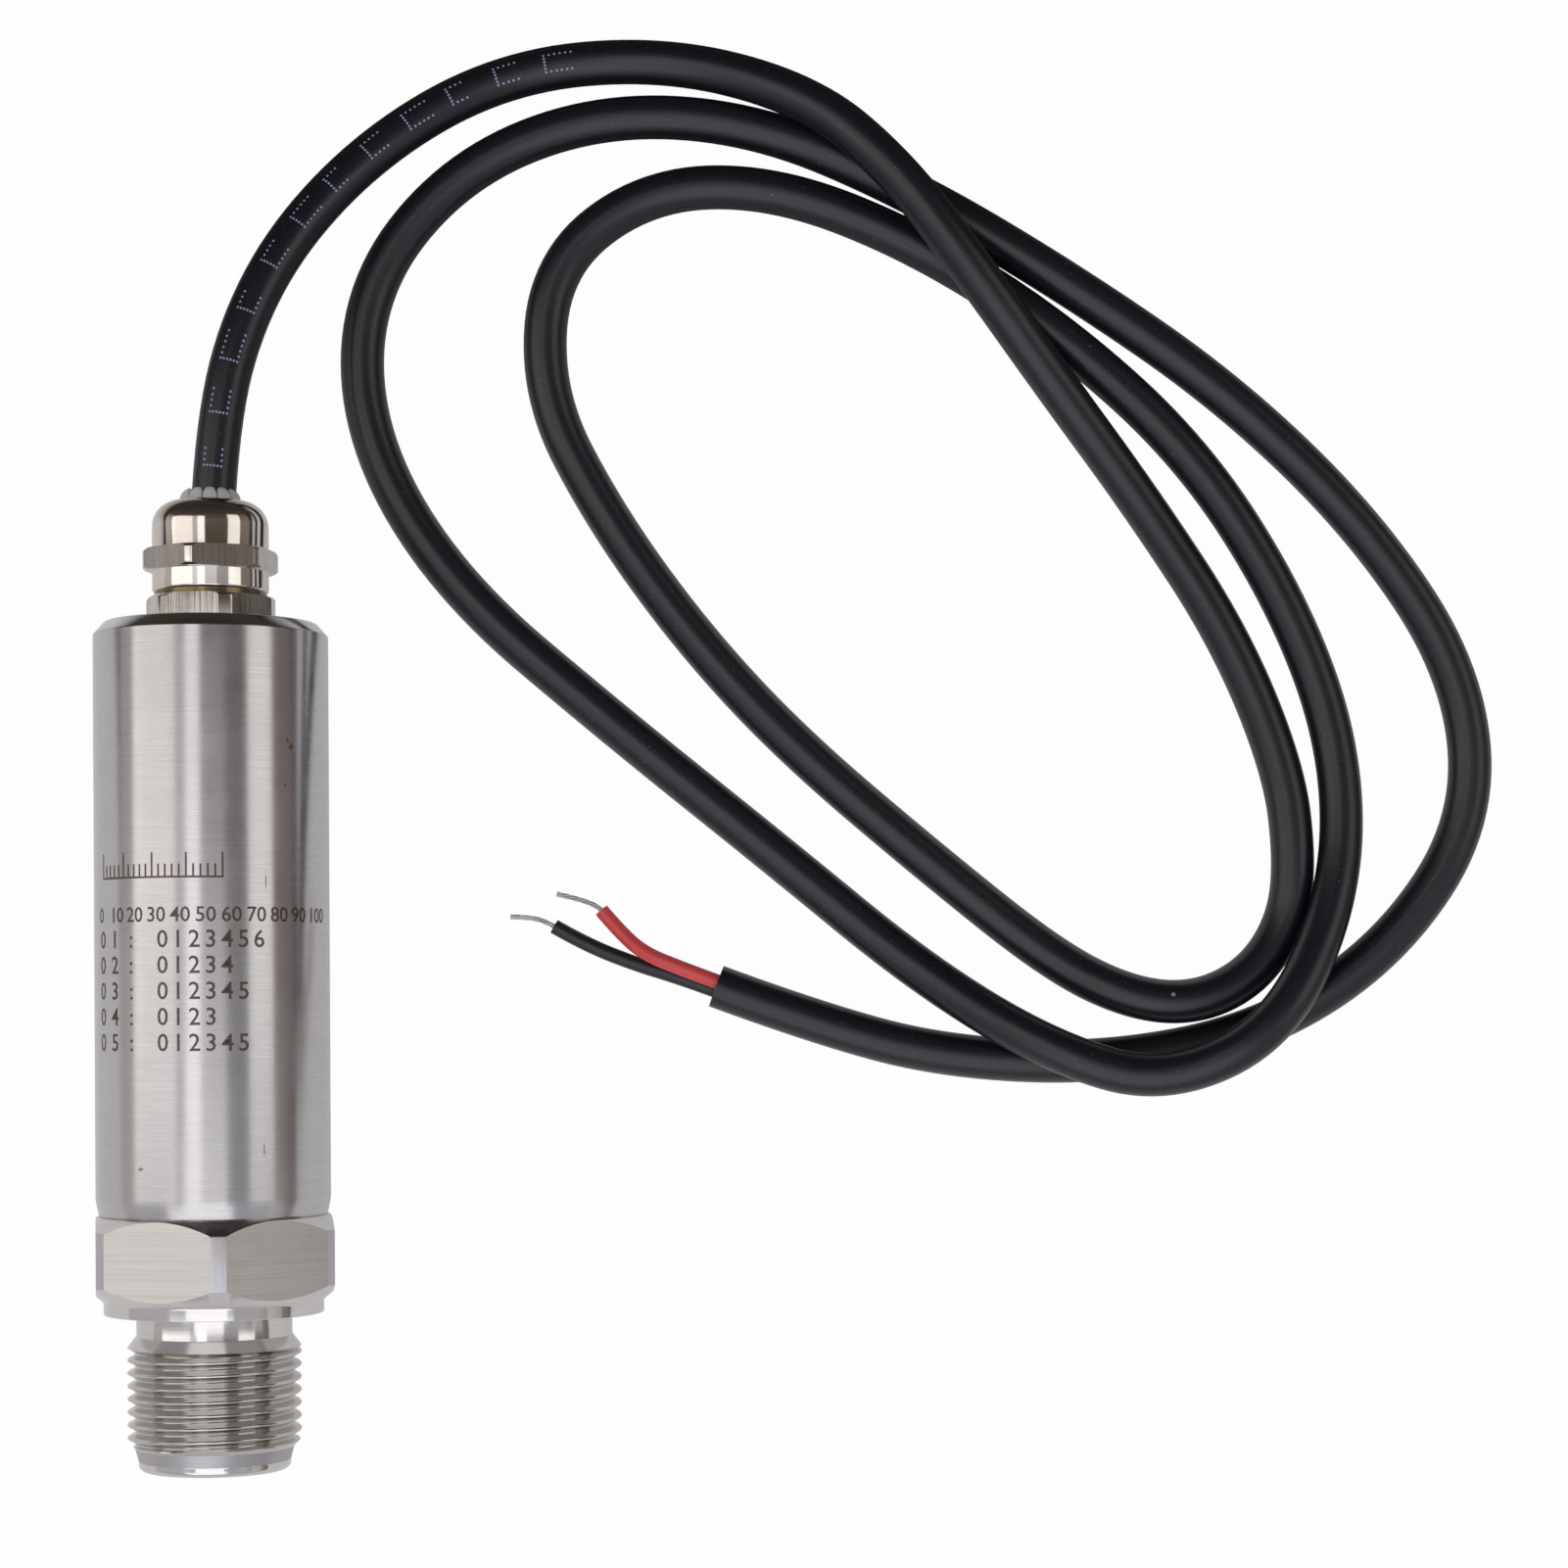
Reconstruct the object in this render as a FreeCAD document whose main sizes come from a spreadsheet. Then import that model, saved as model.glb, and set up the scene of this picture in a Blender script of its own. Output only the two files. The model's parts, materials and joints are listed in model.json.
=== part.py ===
# Pressure transmitter with an M20 x 1.5 male process connection, a turned stainless housing,
# a nickel-plated cable gland and a metre of two-core cable, lying on its side on a table.
#
# Frame: millimetres, +Z up, +Y along the instrument from the thread towards the cable. The
# origin is on the table, under the middle of the instrument. Every turned piece is drawn as a
# half outline (distance from the axis, distance along it) in the frame of its own seat and is
# then placed on the instrument's axis.

import FreeCAD, Part
import math
import os
import re
import Sketcher
from FreeCAD import Placement, Rotation, Vector

SIZES = {
    # process connection
    "thread_diameter": (20.0, "major diameter of the M20 x 1.5 process thread"),
    "thread_length": (12.9, "threaded stretch"),
    "thread_chamfer": (1.0, "lead-in chamfer at each end of the thread"),
    "pilot_diameter": (17.5, "plain pilot below the thread"),
    "pilot_length": (2.6, "pilot with its cone"),
    "pilot_edge": (0.5, "chamfer round the end face"),
    "neck_diameter": (17.9, "undercut between thread and sealing face"),
    "neck_length": (2.65, "length of the undercut"),
    "collar_diameter": (25.3, "sealing collar"),
    "collar_height": (1.45, "plain edge of the collar"),
    "skirt_height": (2.0, "cone from the collar to the hexagon's corners"),
    "hex_width": (27.0, "wrench size across flats"),
    "corner_diameter": (30.2, "bar the hexagon is milled from"),
    "hex_height": (6.3, "flats between the two chamfers"),
    "crown_height": (1.6, "chamfer from the corners to the housing seam"),
    "seam_step": (0.05, "step of the hexagon's crown inside the housing edge"),
    "spigot_length": (7.0, "spigot that centres the housing"),
    "port_diameter": (6.0, "pressure port"),
    "port_chamfer": (0.6, "chamfer at the mouth of the port"),
    "spigot_wall": (2.35, "wall of the spigot round the sensor pocket"),
    # sensor cell
    "cell_length": (9.0, "oil-filled measuring cell"),
    "cell_gap": (0.05, "radial clearance of the cell in its pocket"),
    "dish_depth": (0.9, "recess in front of the diaphragm's seat"),
    "dish_rim": (1.6, "width of the cell's front rim"),
    "diaphragm_thickness": (0.12, "isolating diaphragm"),
    "diaphragm_set": (0.2, "diaphragm behind the front of the cell"),
    "wave_height": (0.25, "height of the diaphragm's corrugations"),
    "wave_count": (3, "round corrugations of the diaphragm"),
    "cell_ring_section": (1.4, "O-ring round the cell"),
    "lock_ring_height": (2.4, "threaded ring behind the cell"),
    "lock_ring_width": (3.1, "lock ring from its opening to the pocket's wall"),
    "lock_ring_gap": (0.3, "lock ring below the end of the spigot"),
    "lock_slot": (2.0, "spanner slots of the lock ring"),
    "pin_diameter": (0.5, "header pin"),
    "pin_circle": (8.0, "pitch circle of the header pins"),
    "pin_count": (5, "header pins"),
    "pin_start": (54, "first header pin, in degrees round from the board's plane"),
    "pin_length": (4.4, "length of the pins behind the cell"),
    "pin_hole_gap": (0.1, "radial clearance of a pin in the compensation board"),
    # housing
    "housing_diameter": (27.0, "outside of the housing"),
    "housing_length": (68.6, "housing from the seam to its end face"),
    "housing_wall": (1.5, "wall round the electronics"),
    "housing_end": (3.0, "thickness of the end wall"),
    "housing_chamfer": (1.4, "chamfer round the end face"),
    "edge_break": (0.2, "broken edge at the seam"),
    "fit_gap": (0.05, "radial clearance of a located diameter"),
    "housing_ring_section": (1.4, "O-ring round the spigot"),
    "ring_lift": (2.0, "O-ring groove above the seam"),
    "ring_side_gap": (0.3, "side clearance of an O-ring in its groove"),
    # electronics
    "disc_gap": (1.1, "compensation board inside the edge of the sensor pocket"),
    "disc_thickness": (1.0, "compensation board"),
    "disc_lift": (2.7, "compensation board above the cell"),
    "sleeve_wall": (0.8, "insulating sleeve in the housing"),
    "sleeve_gap": (0.1, "clearance round and at the ends of the sleeve"),
    "rail_width": (1.6, "lip of a rail over the board's edge"),
    "rail_height": (1.4, "thickness of a rail's lip"),
    "board_side_gap": (0.9, "long edge of the signal board from the sleeve"),
    "board_thickness": (1.6, "signal board"),
    "board_gap": (0.05, "clearance of the board in its rails"),
    "board_start_gap": (5.5, "signal board above the end of the spigot"),
    "board_end_gap": (9.1, "room for the leads between the signal board and the end wall"),
    "part_space": (0.6, "least space between parts across the board"),
    "link_diameter": (0.6, "link pin between the boards"),
    "link_pitch": (2.54, "spacing of the link pins"),
    "link_count": (4, "link pins"),
    "link_overlap": (3.5, "length of a link pin on the signal board"),
    "resistor_place": (5.5, "first chip resistor from the board's end"),
    "resistor_edge": (3.2, "row of chip resistors from the board's long edge"),
    "chip_length": (5.0, "amplifier chip along the board"),
    "chip_width": (4.0, "amplifier chip across the board"),
    "chip_height": (1.5, "amplifier chip"),
    "chip_stand": (0.2, "chip above the board"),
    "leg_width": (0.4, "leg of the chip"),
    "leg_thickness": (0.2, "leg of the chip"),
    "leg_overhang": (1.0, "leg outside the chip"),
    "leg_pitch": (1.27, "spacing of the legs"),
    "leg_count": (4, "legs on each side of the chip"),
    "leg_foot": (0.5, "flat foot of a leg on the board"),
    "trimmer_side": (4.8, "adjusting potentiometer, across and along"),
    "trimmer_height": (3.4, "adjusting potentiometer"),
    "trimmer_screw": (2.2, "adjusting screw"),
    "trimmer_screw_height": (0.4, "adjusting screw above its case"),
    "screw_slot": (0.5, "slot of the adjusting screw"),
    "capacitor_diameter": (5.0, "filter capacitor"),
    "capacitor_height": (5.2, "filter capacitor"),
    "transistor_width": (6.5, "loop transistor across the board"),
    "transistor_length": (6.1, "loop transistor along the board"),
    "transistor_height": (2.3, "loop transistor"),
    "transistor_tab": (1.2, "cooling tab beyond the transistor's case"),
    "transistor_tab_thickness": (0.5, "cooling tab"),
    "resistor_length": (2.0, "chip resistor"),
    "resistor_width": (1.25, "chip resistor"),
    "resistor_height": (0.5, "chip resistor"),
    "resistor_pitch": (2.6, "spacing of the chip resistors"),
    "resistor_count": (6, "chip resistors in the row"),
    "terminal_length": (6.0, "two-way terminal along the board"),
    "terminal_width": (7.0, "two-way terminal across the board"),
    "terminal_height": (5.6, "two-way terminal"),
    "terminal_hole": (2.0, "wire entry"),
    "terminal_depth": (3.0, "depth of the wire entries"),
    "terminal_pitch": (3.5, "spacing of the wire entries"),
    # cable gland
    "entry_diameter": (12.0, "entry thread of the gland"),
    "entry_length": (6.0, "entry thread of the gland"),
    "entry_gap": (0.05, "radial clearance of the entry thread"),
    "gland_ring_section": (0.8, "O-ring under the gland"),
    "gland_width": (13.8, "gland body across flats"),
    "gland_corner": (15.1, "gland body across its turned corners"),
    "gland_flange": (3.05, "hexagon of the gland body"),
    "gland_edge": (0.3, "chamfer of the gland body's hexagon"),
    "waist_diameter": (12.9, "waist under the gland nut"),
    "waist_length": (0.6, "waist under the gland nut"),
    "dome_thread": (11.0, "thread under the gland nut"),
    "dome_thread_length": (5.4, "thread under the gland nut"),
    "gland_bore": (6.6, "bore of the gland body"),
    "seal_diameter": (8.4, "outside of the rubber seal"),
    "seal_length": (4.6, "rubber seal"),
    "seal_bevel": (0.5, "bevel at the ends of the seal"),
    "seal_gap": (0.05, "radial clearance of the seal and the claw"),
    "nut_diameter": (13.4, "skirt and dome of the gland nut"),
    "nut_skirt": (2.4, "plain skirt below the nut's hexagon"),
    "nut_width": (14.0, "nut across flats"),
    "nut_corner": (15.7, "nut across its turned corners"),
    "nut_flange": (2.5, "hexagon of the nut"),
    "nut_edge": (0.3, "chamfer of the nut's hexagon"),
    "nut_rise": (5.7, "dome above the nut's hexagon"),
    "mouth_diameter": (7.2, "mouth of the nut"),
    "mouth_lip": (0.15, "flat lip round the mouth"),
    "nut_gap": (0.1, "play between the nut's shoulder and the gland body"),
    "mouth_land": (0.5, "straight land of the mouth"),
    "nut_cone": (1.8, "cone that closes the claw"),
    "nut_chamber": (10.6, "room for the claw's ring"),
    "claw_ring": (1.1, "solid ring at the foot of the claw"),
    "claw_root": (9.4, "outside of the fingers at their root"),
    "claw_crest": (1.4, "fingers above the nut"),
    "claw_tip": (6.0, "outside of the fingers at their tip"),
    "finger_root": (0.8, "solid part of the claw above its ring"),
    "finger_count": (12, "fingers of the claw"),
    "finger_slot": (0.3, "slot between two fingers"),
    "finger_shoulder": (0.5, "slope of a finger's tip"),
    "finger_tip": (0.1, "flat at the very end of a finger"),
    # cable
    "cable_diameter": (5.2, "jacket"),
    "cable_gap": (0.15, "radial clearance of the cable in the claw"),
    "core_diameter": (1.8, "insulated core"),
    "core_spacing": (1.88, "centre distance of the two cores"),
    "red_run": (4.9, "red core straight out of the jacket"),
    "black_run": (4.5, "black core straight out of the jacket"),
    "tip_run": (0.8, "bare tip straight out of its insulation"),
    "strand_diameter": (0.6, "tinned conductor"),
    # how the pieces are turned about the axis, in degrees
    "body_turn": (11.3, "the hexagon's upper corner leans over by this"),
    "gland_turn": (22.0, "a corner of the gland body from straight up"),
    "nut_turn": (-9.1, "a corner of the nut from straight up"),
    "core_lean": (56, "the red core lies over the black one by this, from level"),
}

# Lengths that follow from the sizes above. Stations are counted along the axis from the end
# face of the pilot.
DERIVED = {
    "thread_top": "pilot_length + thread_length",
    "seal_face": "thread_top + neck_length",
    "hex_start": "seal_face + collar_height",
    "corner_start": "hex_start + skirt_height",
    "corner_end": "corner_start + hex_height",
    "seam": "corner_end + crown_height",
    "spigot_end": "seam + spigot_length",
    "pocket_floor": "spigot_end - lock_ring_gap - lock_ring_height - cell_length",
    "housing_bore": "housing_diameter - 2 * housing_wall",
    "spigot_diameter": "housing_bore - 2 * fit_gap",
    "pocket_diameter": "spigot_diameter - 2 * spigot_wall",
    "disc_diameter": "pocket_diameter - 2 * disc_gap",
    "end_face": "seam + housing_length",
    "end_inside": "end_face - housing_end",
    "nut_seat": "end_face + gland_flange + waist_length",
    "claw_seat": "nut_seat + dome_thread_length",
    "nut_top": "nut_seat + nut_skirt + nut_flange + nut_rise",
    "claw_top": "nut_top + claw_crest",
    "middle": "claw_top / 2",
    "facet_half": "30deg - acos(hex_width / corner_diameter)",
    "axis_height": "corner_diameter / 2 * cos(body_turn * 1deg - facet_half)",
    "board_face": "board_thickness / 2",
    "board_width": "2 * (sleeve_inner - board_side_gap)",
    "board_length": "end_inside - board_end_gap - board_foot",
    "board_top": "board_foot + board_length",
    "slot_half": "board_thickness / 2 + board_gap",
    "sleeve_outer": "housing_bore / 2 - sleeve_gap",
    "sleeve_inner": "sleeve_outer - sleeve_wall",
    "sleeve_start": "spigot_end + sleeve_gap",
    "board_foot": "spigot_end + board_start_gap",
    "disc_foot": "spigot_end - lock_ring_gap - lock_ring_height + disc_lift",
    "power_length": "transistor_length + transistor_tab",
    "part_length": "chip_length + trimmer_side + power_length + terminal_length",
    "part_gap": "(board_length - part_length) / 4",
    "chip_place": "part_gap",
    "trimmer_place": "chip_place + chip_length + part_gap",
    "power_place": "trimmer_place + trimmer_side + part_gap",
    "resistor_side": "board_width / 2 - resistor_edge",
    "trimmer_side_place": "resistor_side - part_space - trimmer_side / 2",
    "power_side_place": "board_width / 2 - rail_width - part_space - transistor_width / 2",
    "cell_radius": "pocket_diameter / 2 - cell_gap",
    "dish_radius": "cell_radius - dish_rim",
    "seal_seat": "seal_diameter / 2 + seal_gap",
    "entry_radius": "entry_diameter / 2 - entry_gap",
    "claw_bore": "cable_diameter / 2 + cable_gap",
    "finger_radius": "mouth_diameter / 2 - seal_gap",
}

doc = FreeCAD.newDocument("pressure_transmitter")
sheet = doc.addObject("Spreadsheet::Sheet", "sizes")
for row, (name, (value, note)) in enumerate(SIZES.items(), start=1):
    sheet.set(f"A{row}", name)
    sheet.set(f"B{row}", str(value))
    sheet.set(f"C{row}", note)
    sheet.setAlias(f"B{row}", name)
doc.recompute()


def formula(text):
    """A formula in plain size names, as an expression that reads the sheet."""

    def swap(match):
        word = match.group(0)
        if word in DERIVED:
            return "(" + formula(DERIVED[word]) + ")"
        return "sizes." + word if word in SIZES else word

    return re.sub(r"[a-z_]+", swap, text)


def number(text):
    """What a formula comes to now, in millimetres or degrees."""
    value = sheet.evalExpression(formula(text))
    return float(getattr(value, "Value", value))


def bind(thing, field, text):
    thing.setExpression(field, formula(text))


# ---------------------------------------------------------------- sketches


def plane(body, role):
    """One of the body's own origin planes or axes."""
    return next(item for item in body.Origin.OriginFeatures if item.Role == role)


def new_sketch(body, name, role, lift=None):
    """An empty sketch on an origin plane, lifted along that plane's normal by a formula."""
    sketch = body.newObject("Sketcher::SketchObject", name)
    sketch.AttachmentSupport = [(plane(body, role), "")]
    sketch.MapMode = "FlatFace"
    if lift is not None:
        bind(sketch, "AttachmentOffset.Base.z", lift)
    return sketch


def pin_point(sketch, item, end, across, along):
    """Ties a point of the sketch to two formulas, measured from the sketch's origin."""
    for kind, axis, text in (("DistanceX", -2, across), ("DistanceY", -1, along)):
        value = number(text)
        if abs(value) < 1e-9:
            sketch.addConstraint(Sketcher.Constraint("PointOnObject", item, end, axis))
        elif value > 0:
            tie = sketch.addConstraint(Sketcher.Constraint(kind, -1, 1, item, end, value))
            bind(sketch, f"Constraints[{tie}]", text)
        else:
            tie = sketch.addConstraint(Sketcher.Constraint(kind, item, end, -1, 1, -value))
            bind(sketch, f"Constraints[{tie}]", f"-({text})")


def outline(sketch, corners):
    """A closed outline. A corner is (across, along), and a corner with a third value is
    reached over a convex quarter round of that radius, whose middle lies towards the origin."""
    spots = [Vector(number(c[0]), number(c[1]), 0) for c in corners]
    first = sketch.GeometryCount
    for i, corner in enumerate(corners):
        start, end = spots[i - 1], spots[i]
        if len(corner) == 3:
            centre = Vector(min(start.x, end.x), min(start.y, end.y), 0)
            way = (start + end) * 0.5 - centre
            top = centre + way.normalize() * number(corner[2])
            sketch.addGeometry(Part.Arc(start, top, end), False)
        else:
            sketch.addGeometry(Part.LineSegment(start, end), False)
    count = len(corners)
    ends = []
    for i, corner in enumerate(corners):
        item = first + i
        shape = sketch.Geometry[item]
        forward = (shape.StartPoint - spots[i - 1]).Length < 1e-6
        ends.append((1, 2) if forward else (2, 1))
    for i, corner in enumerate(corners):
        item, after = first + i, first + (i + 1) % count
        joint = Sketcher.Constraint("Coincident", item, ends[i][1], after, ends[(i + 1) % count][0])
        sketch.addConstraint(joint)
        pin_point(sketch, item, ends[i][1], corner[0], corner[1])
        if len(corner) == 3:
            tie = sketch.addConstraint(Sketcher.Constraint("Radius", item, number(corner[2])))
            bind(sketch, f"Constraints[{tie}]", corner[2])


def ring(sketch, diameter, across="0", along="0"):
    """A circle of the given diameter round a point."""
    centre = Vector(number(across), number(along), 0)
    circle = Part.Circle(centre, Vector(0, 0, 1), number(diameter) / 2)
    item = sketch.addGeometry(circle, False)
    pin_point(sketch, item, 3, across, along)
    tie = sketch.addConstraint(Sketcher.Constraint("Diameter", item, number(diameter)))
    bind(sketch, f"Constraints[{tie}]", diameter)


def box_outline(sketch, left, right, low, high):
    outline(sketch, [(left, low), (right, low), (right, high), (left, high)])


# ---------------------------------------------------------------- features


def new_body(name):
    body = doc.addObject("PartDesign::Body", name)
    body.Label = name
    return body


def on_axis(thing, station, turn="body_turn"):
    """Seats a piece on the instrument's axis at a station and turns it about that axis."""
    thing.Placement = Placement(Vector(0, 0, 0), Rotation(Vector(0, 1, 0), number(turn)))
    bind(thing, "Placement.Rotation.Angle", turn)
    bind(thing, "Placement.Base.y", f"{station} - middle")
    bind(thing, "Placement.Base.z", "axis_height")
    return thing


def revolve(body, name, draw):
    """Turns what draw() sketches about the body's Y axis."""
    sketch = new_sketch(body, name + "_outline", "XY_Plane")
    draw(sketch)
    turning = body.newObject("PartDesign::Revolution", name)
    turning.Profile = sketch
    turning.ReferenceAxis = (sketch, ["V_Axis"])
    turning.Angle = 360
    body.Tip = turning


def turned(name, corners, station, turn="body_turn"):
    """A body turned in one go from its half outline."""
    body = new_body(name)
    revolve(body, name + "_turning", lambda sketch: outline(sketch, corners))
    return on_axis(body, station, turn)


def extrude(body, name, draw, foot, length, kind="PartDesign::Pad"):
    """Pads or pockets what draw() sketches across the axis, from foot towards +Y."""
    sketch = new_sketch(body, name + "_outline", "XZ_Plane", f"-({foot})")
    draw(sketch)
    feature = body.newObject(kind, name)
    feature.Profile = sketch
    bind(feature, "Length", length)
    feature.Reversed = kind == "PartDesign::Pad"
    body.Tip = feature
    return feature


def around(body, feature, count):
    """Repeats a feature round the Y axis. The count is a number or the name of a size."""
    pattern = body.newObject("PartDesign::PolarPattern", feature.Name + "_round")
    pattern.Originals = [feature]
    pattern.Axis = (feature.Profile[0], ["N_Axis"])
    pattern.Angle = 360
    if isinstance(count, str):
        bind(pattern, "Occurrences", count)
    else:
        pattern.Occurrences = count
    body.Tip = pattern
    return pattern


def mill_hexagon(body, name, width, corner, foot, length):
    """Cuts six flats into a turned blank. Two corners then lie on the Z axis."""

    def flat(sketch):
        box_outline(sketch, f"{width} / 2", corner, f"-{corner}", corner)

    cut = extrude(body, name, flat, foot, length, "PartDesign::Pocket")
    around(body, cut, 6)


# ---------------------------------------------------------------- pieces of the measuring end


def process_connection():
    """Thread, sealing collar, hexagon, spigot and sensor pocket, turned from one bar."""
    port = "port_diameter / 2"
    groove_floor = "housing_bore / 2 - housing_ring_section"
    groove_low = "seam + ring_lift"
    groove_high = f"{groove_low} + housing_ring_section + ring_side_gap"
    crest = "thread_diameter / 2"
    corners = [
        (f"{port} + port_chamfer", "0"),
        ("pilot_diameter / 2 - pilot_edge", "0"),
        ("pilot_diameter / 2", "pilot_edge"),
        ("pilot_diameter / 2", "pilot_length / 2"),
        (f"{crest} - thread_chamfer", "pilot_length"),
        (crest, "pilot_length + thread_chamfer"),
        (crest, "thread_top - thread_chamfer"),
        ("neck_diameter / 2", "thread_top"),
        ("neck_diameter / 2", "seal_face"),
        ("collar_diameter / 2", "seal_face"),
        ("collar_diameter / 2", "hex_start"),
        ("corner_diameter / 2", "corner_start"),
        ("corner_diameter / 2", "corner_end"),
        ("housing_diameter / 2 - seam_step", "seam"),
        ("spigot_diameter / 2", "seam"),
        ("spigot_diameter / 2", groove_low),
        (groove_floor, groove_low),
        (groove_floor, groove_high),
        ("spigot_diameter / 2", groove_high),
        ("spigot_diameter / 2", "spigot_end"),
        ("pocket_diameter / 2", "spigot_end"),
        ("pocket_diameter / 2", "pocket_floor"),
        (port, "pocket_floor"),
        (port, "port_chamfer"),
    ]
    body = turned("process_connection", corners, "0")
    length = "skirt_height + hex_height + crown_height"
    mill_hexagon(body, "connection_flats", "hex_width", "corner_diameter", "hex_start", length)
    return body


def o_ring(name, outer, section, station):
    """An O-ring round the axis, with its outside on the given radius."""
    body = new_body(name)
    half = f"{section} / 2"
    revolve(body, name + "_turning", lambda sketch: ring(sketch, section, f"{outer} - {half}", half))
    return on_axis(body, station)


def housing():
    """Deep-drawn cup, turned outside, with the gland's hole in its end wall."""
    hole = "entry_diameter / 2"
    seat = "entry_radius + gland_ring_section"
    corners = [
        ("housing_bore / 2", "0"),
        ("housing_diameter / 2 - edge_break", "0"),
        ("housing_diameter / 2", "edge_break"),
        ("housing_diameter / 2", "housing_length - housing_chamfer"),
        ("housing_diameter / 2 - housing_chamfer", "housing_length"),
        (seat, "housing_length"),
        (seat, "housing_length - gland_ring_section"),
        (hole, "housing_length - gland_ring_section"),
        (hole, "housing_length - housing_end"),
        ("housing_bore / 2", "housing_length - housing_end"),
    ]
    return turned("housing", corners, "seam")


def sensor_cell():
    """Steel capsule with a dished front, a groove for its O-ring and a flat back."""
    low = "cell_length / 2"
    high = f"{low} + cell_ring_section + ring_side_gap"
    floor = "pocket_diameter / 2 - cell_ring_section"
    corners = [
        ("0", "dish_depth"),
        ("dish_radius", "dish_depth"),
        ("dish_radius", "0"),
        ("cell_radius", "0"),
        ("cell_radius", low),
        (floor, low),
        (floor, high),
        ("cell_radius", high),
        ("cell_radius", "cell_length"),
        ("0", "cell_length"),
    ]
    return turned("sensor_cell", corners, "pocket_floor")


def isolating_diaphragm():
    """Thin steel disc with three round corrugations, welded to the rim of the cell's dish."""
    waves = int(number("wave_count"))
    step = "dish_radius / (2 * wave_count + 1)"
    under, over = [("0", "0")], [("0", "diaphragm_thickness")]
    for i in range(1, 2 * waves + 1):
        lift = "wave_height" if i % 2 == 0 else "0"
        under.append((f"{step} * {i}", lift))
        over.append((f"{step} * {i}", f"{lift} + diaphragm_thickness"))
    rim = [("dish_radius", "0"), ("dish_radius", "diaphragm_thickness")]
    return turned("isolating_diaphragm", under + rim + over[::-1], "pocket_floor + diaphragm_set")


def cell_lock_ring():
    """Threaded ring that holds the cell down, with two slots for a pin spanner."""
    outer, bore = "pocket_diameter / 2 - fit_gap", "pocket_diameter / 2 - lock_ring_width"
    height = "lock_ring_height"
    corners = [(bore, "0"), (outer, "0"), (outer, height), (bore, height)]
    station = "spigot_end - lock_ring_gap - lock_ring_height"
    body = turned("cell_lock_ring", corners, station)

    def slot(sketch):
        reach = "pocket_diameter / 2"
        box_outline(sketch, f"-{reach}", reach, "-lock_slot / 2", "lock_slot / 2")

    extrude(body, "lock_ring_slots", slot, f"{height} / 2", height, "PartDesign::Pocket")
    return body


# ---------------------------------------------------------------- electronics


def group(name, children, station):
    """Loose, equal solids that share one sub-part."""
    holder = doc.addObject("Part::Compound", name)
    holder.Label = name
    holder.Links = children
    return on_axis(holder, station)


def along_pin(name, diameter, length, across, up):
    """A round pin along the instrument's axis."""
    pin = doc.addObject("Part::Cylinder", name)
    bind(pin, "Radius", f"{diameter} / 2")
    bind(pin, "Height", length)
    pin.Placement = Placement(Vector(0, 0, 0), Rotation(Vector(1, 0, 0), -90))
    bind(pin, "Placement.Base.x", across)
    bind(pin, "Placement.Base.z", up)
    return pin


def pin_spots():
    """Where the header pins stand on their pitch circle, across the axis and up."""
    turns = [f"(pin_start + {i} * 360 / pin_count) * 1deg" for i in range(int(number("pin_count")))]
    return [(f"pin_circle / 2 * cos({turn})", f"pin_circle / 2 * sin({turn})") for turn in turns]


def header_pins():
    """Glass-sealed pins behind the cell."""
    pins = [along_pin(f"header_pin_{i}", "pin_diameter", "pin_length", *spot)
            for i, spot in enumerate(pin_spots())]
    return group("header_pins", pins, "pocket_floor + cell_length")


def compensation_board():
    """Round board on the header pins."""
    body = new_body("compensation_board")

    def disc(sketch):
        ring(sketch, "disc_diameter")
        for spot in pin_spots():
            ring(sketch, "pin_diameter + 2 * pin_hole_gap", *spot)

    extrude(body, "disc", disc, "0", "disc_thickness")
    return on_axis(body, "disc_foot")


def link_pins():
    """Pins from the round board to the signal board, lying on its pads."""
    top = "disc_foot + disc_thickness"
    length = f"board_foot - ({top}) + link_overlap"
    pins = []
    for i in range(int(number("link_count"))):
        across = f"link_pitch * ({i} - (link_count - 1) / 2)"
        pins.append(along_pin(f"link_pin_{i}", "link_diameter", length, across,
                              "board_face + link_diameter / 2"))
    return group("link_pins", pins, top)


def board_sleeve():
    """Insulating sleeve with two rails that grip the long edges of the signal board."""
    body = new_body("board_sleeve")

    def wall(sketch):
        ring(sketch, "2 * sleeve_outer")
        ring(sketch, "2 * sleeve_inner")

    def lips(sketch):
        inner, outer = "board_width / 2 - rail_width", "sleeve_inner + sleeve_wall / 2"
        low, high = "slot_half", "slot_half + rail_height"
        box_outline(sketch, inner, outer, low, high)
        box_outline(sketch, inner, outer, f"-({high})", f"-({low})")
        box_outline(sketch, f"-({outer})", f"-({inner})", low, high)
        box_outline(sketch, f"-({outer})", f"-({inner})", f"-({high})", f"-({low})")

    extrude(body, "sleeve_wall_ring", wall, "0", "end_inside - sleeve_gap - sleeve_start")
    extrude(body, "sleeve_rails", lips, "board_foot - sleeve_start", "board_length")
    return on_axis(body, "sleeve_start")


def signal_board():
    """Rectangular board with the amplifier, in the rails of the sleeve."""
    body = new_body("signal_board")

    def section(sketch):
        half = "board_width / 2"
        box_outline(sketch, f"-{half}", half, "-board_face", "board_face")

    extrude(body, "board_blank", section, "0", "board_length")
    return on_axis(body, "board_foot")


def block(body, name, left, right, low, high, floor, height, kind="PartDesign::Pad"):
    """A rectangular block on the board: across, along, then up from a floor."""
    sketch = new_sketch(body, name + "_outline", "XY_Plane", floor)
    box_outline(sketch, left, right, low, high)
    feature = body.newObject(kind, name)
    feature.Profile = sketch
    bind(feature, "Length", height)
    body.Tip = feature
    return feature


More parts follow.
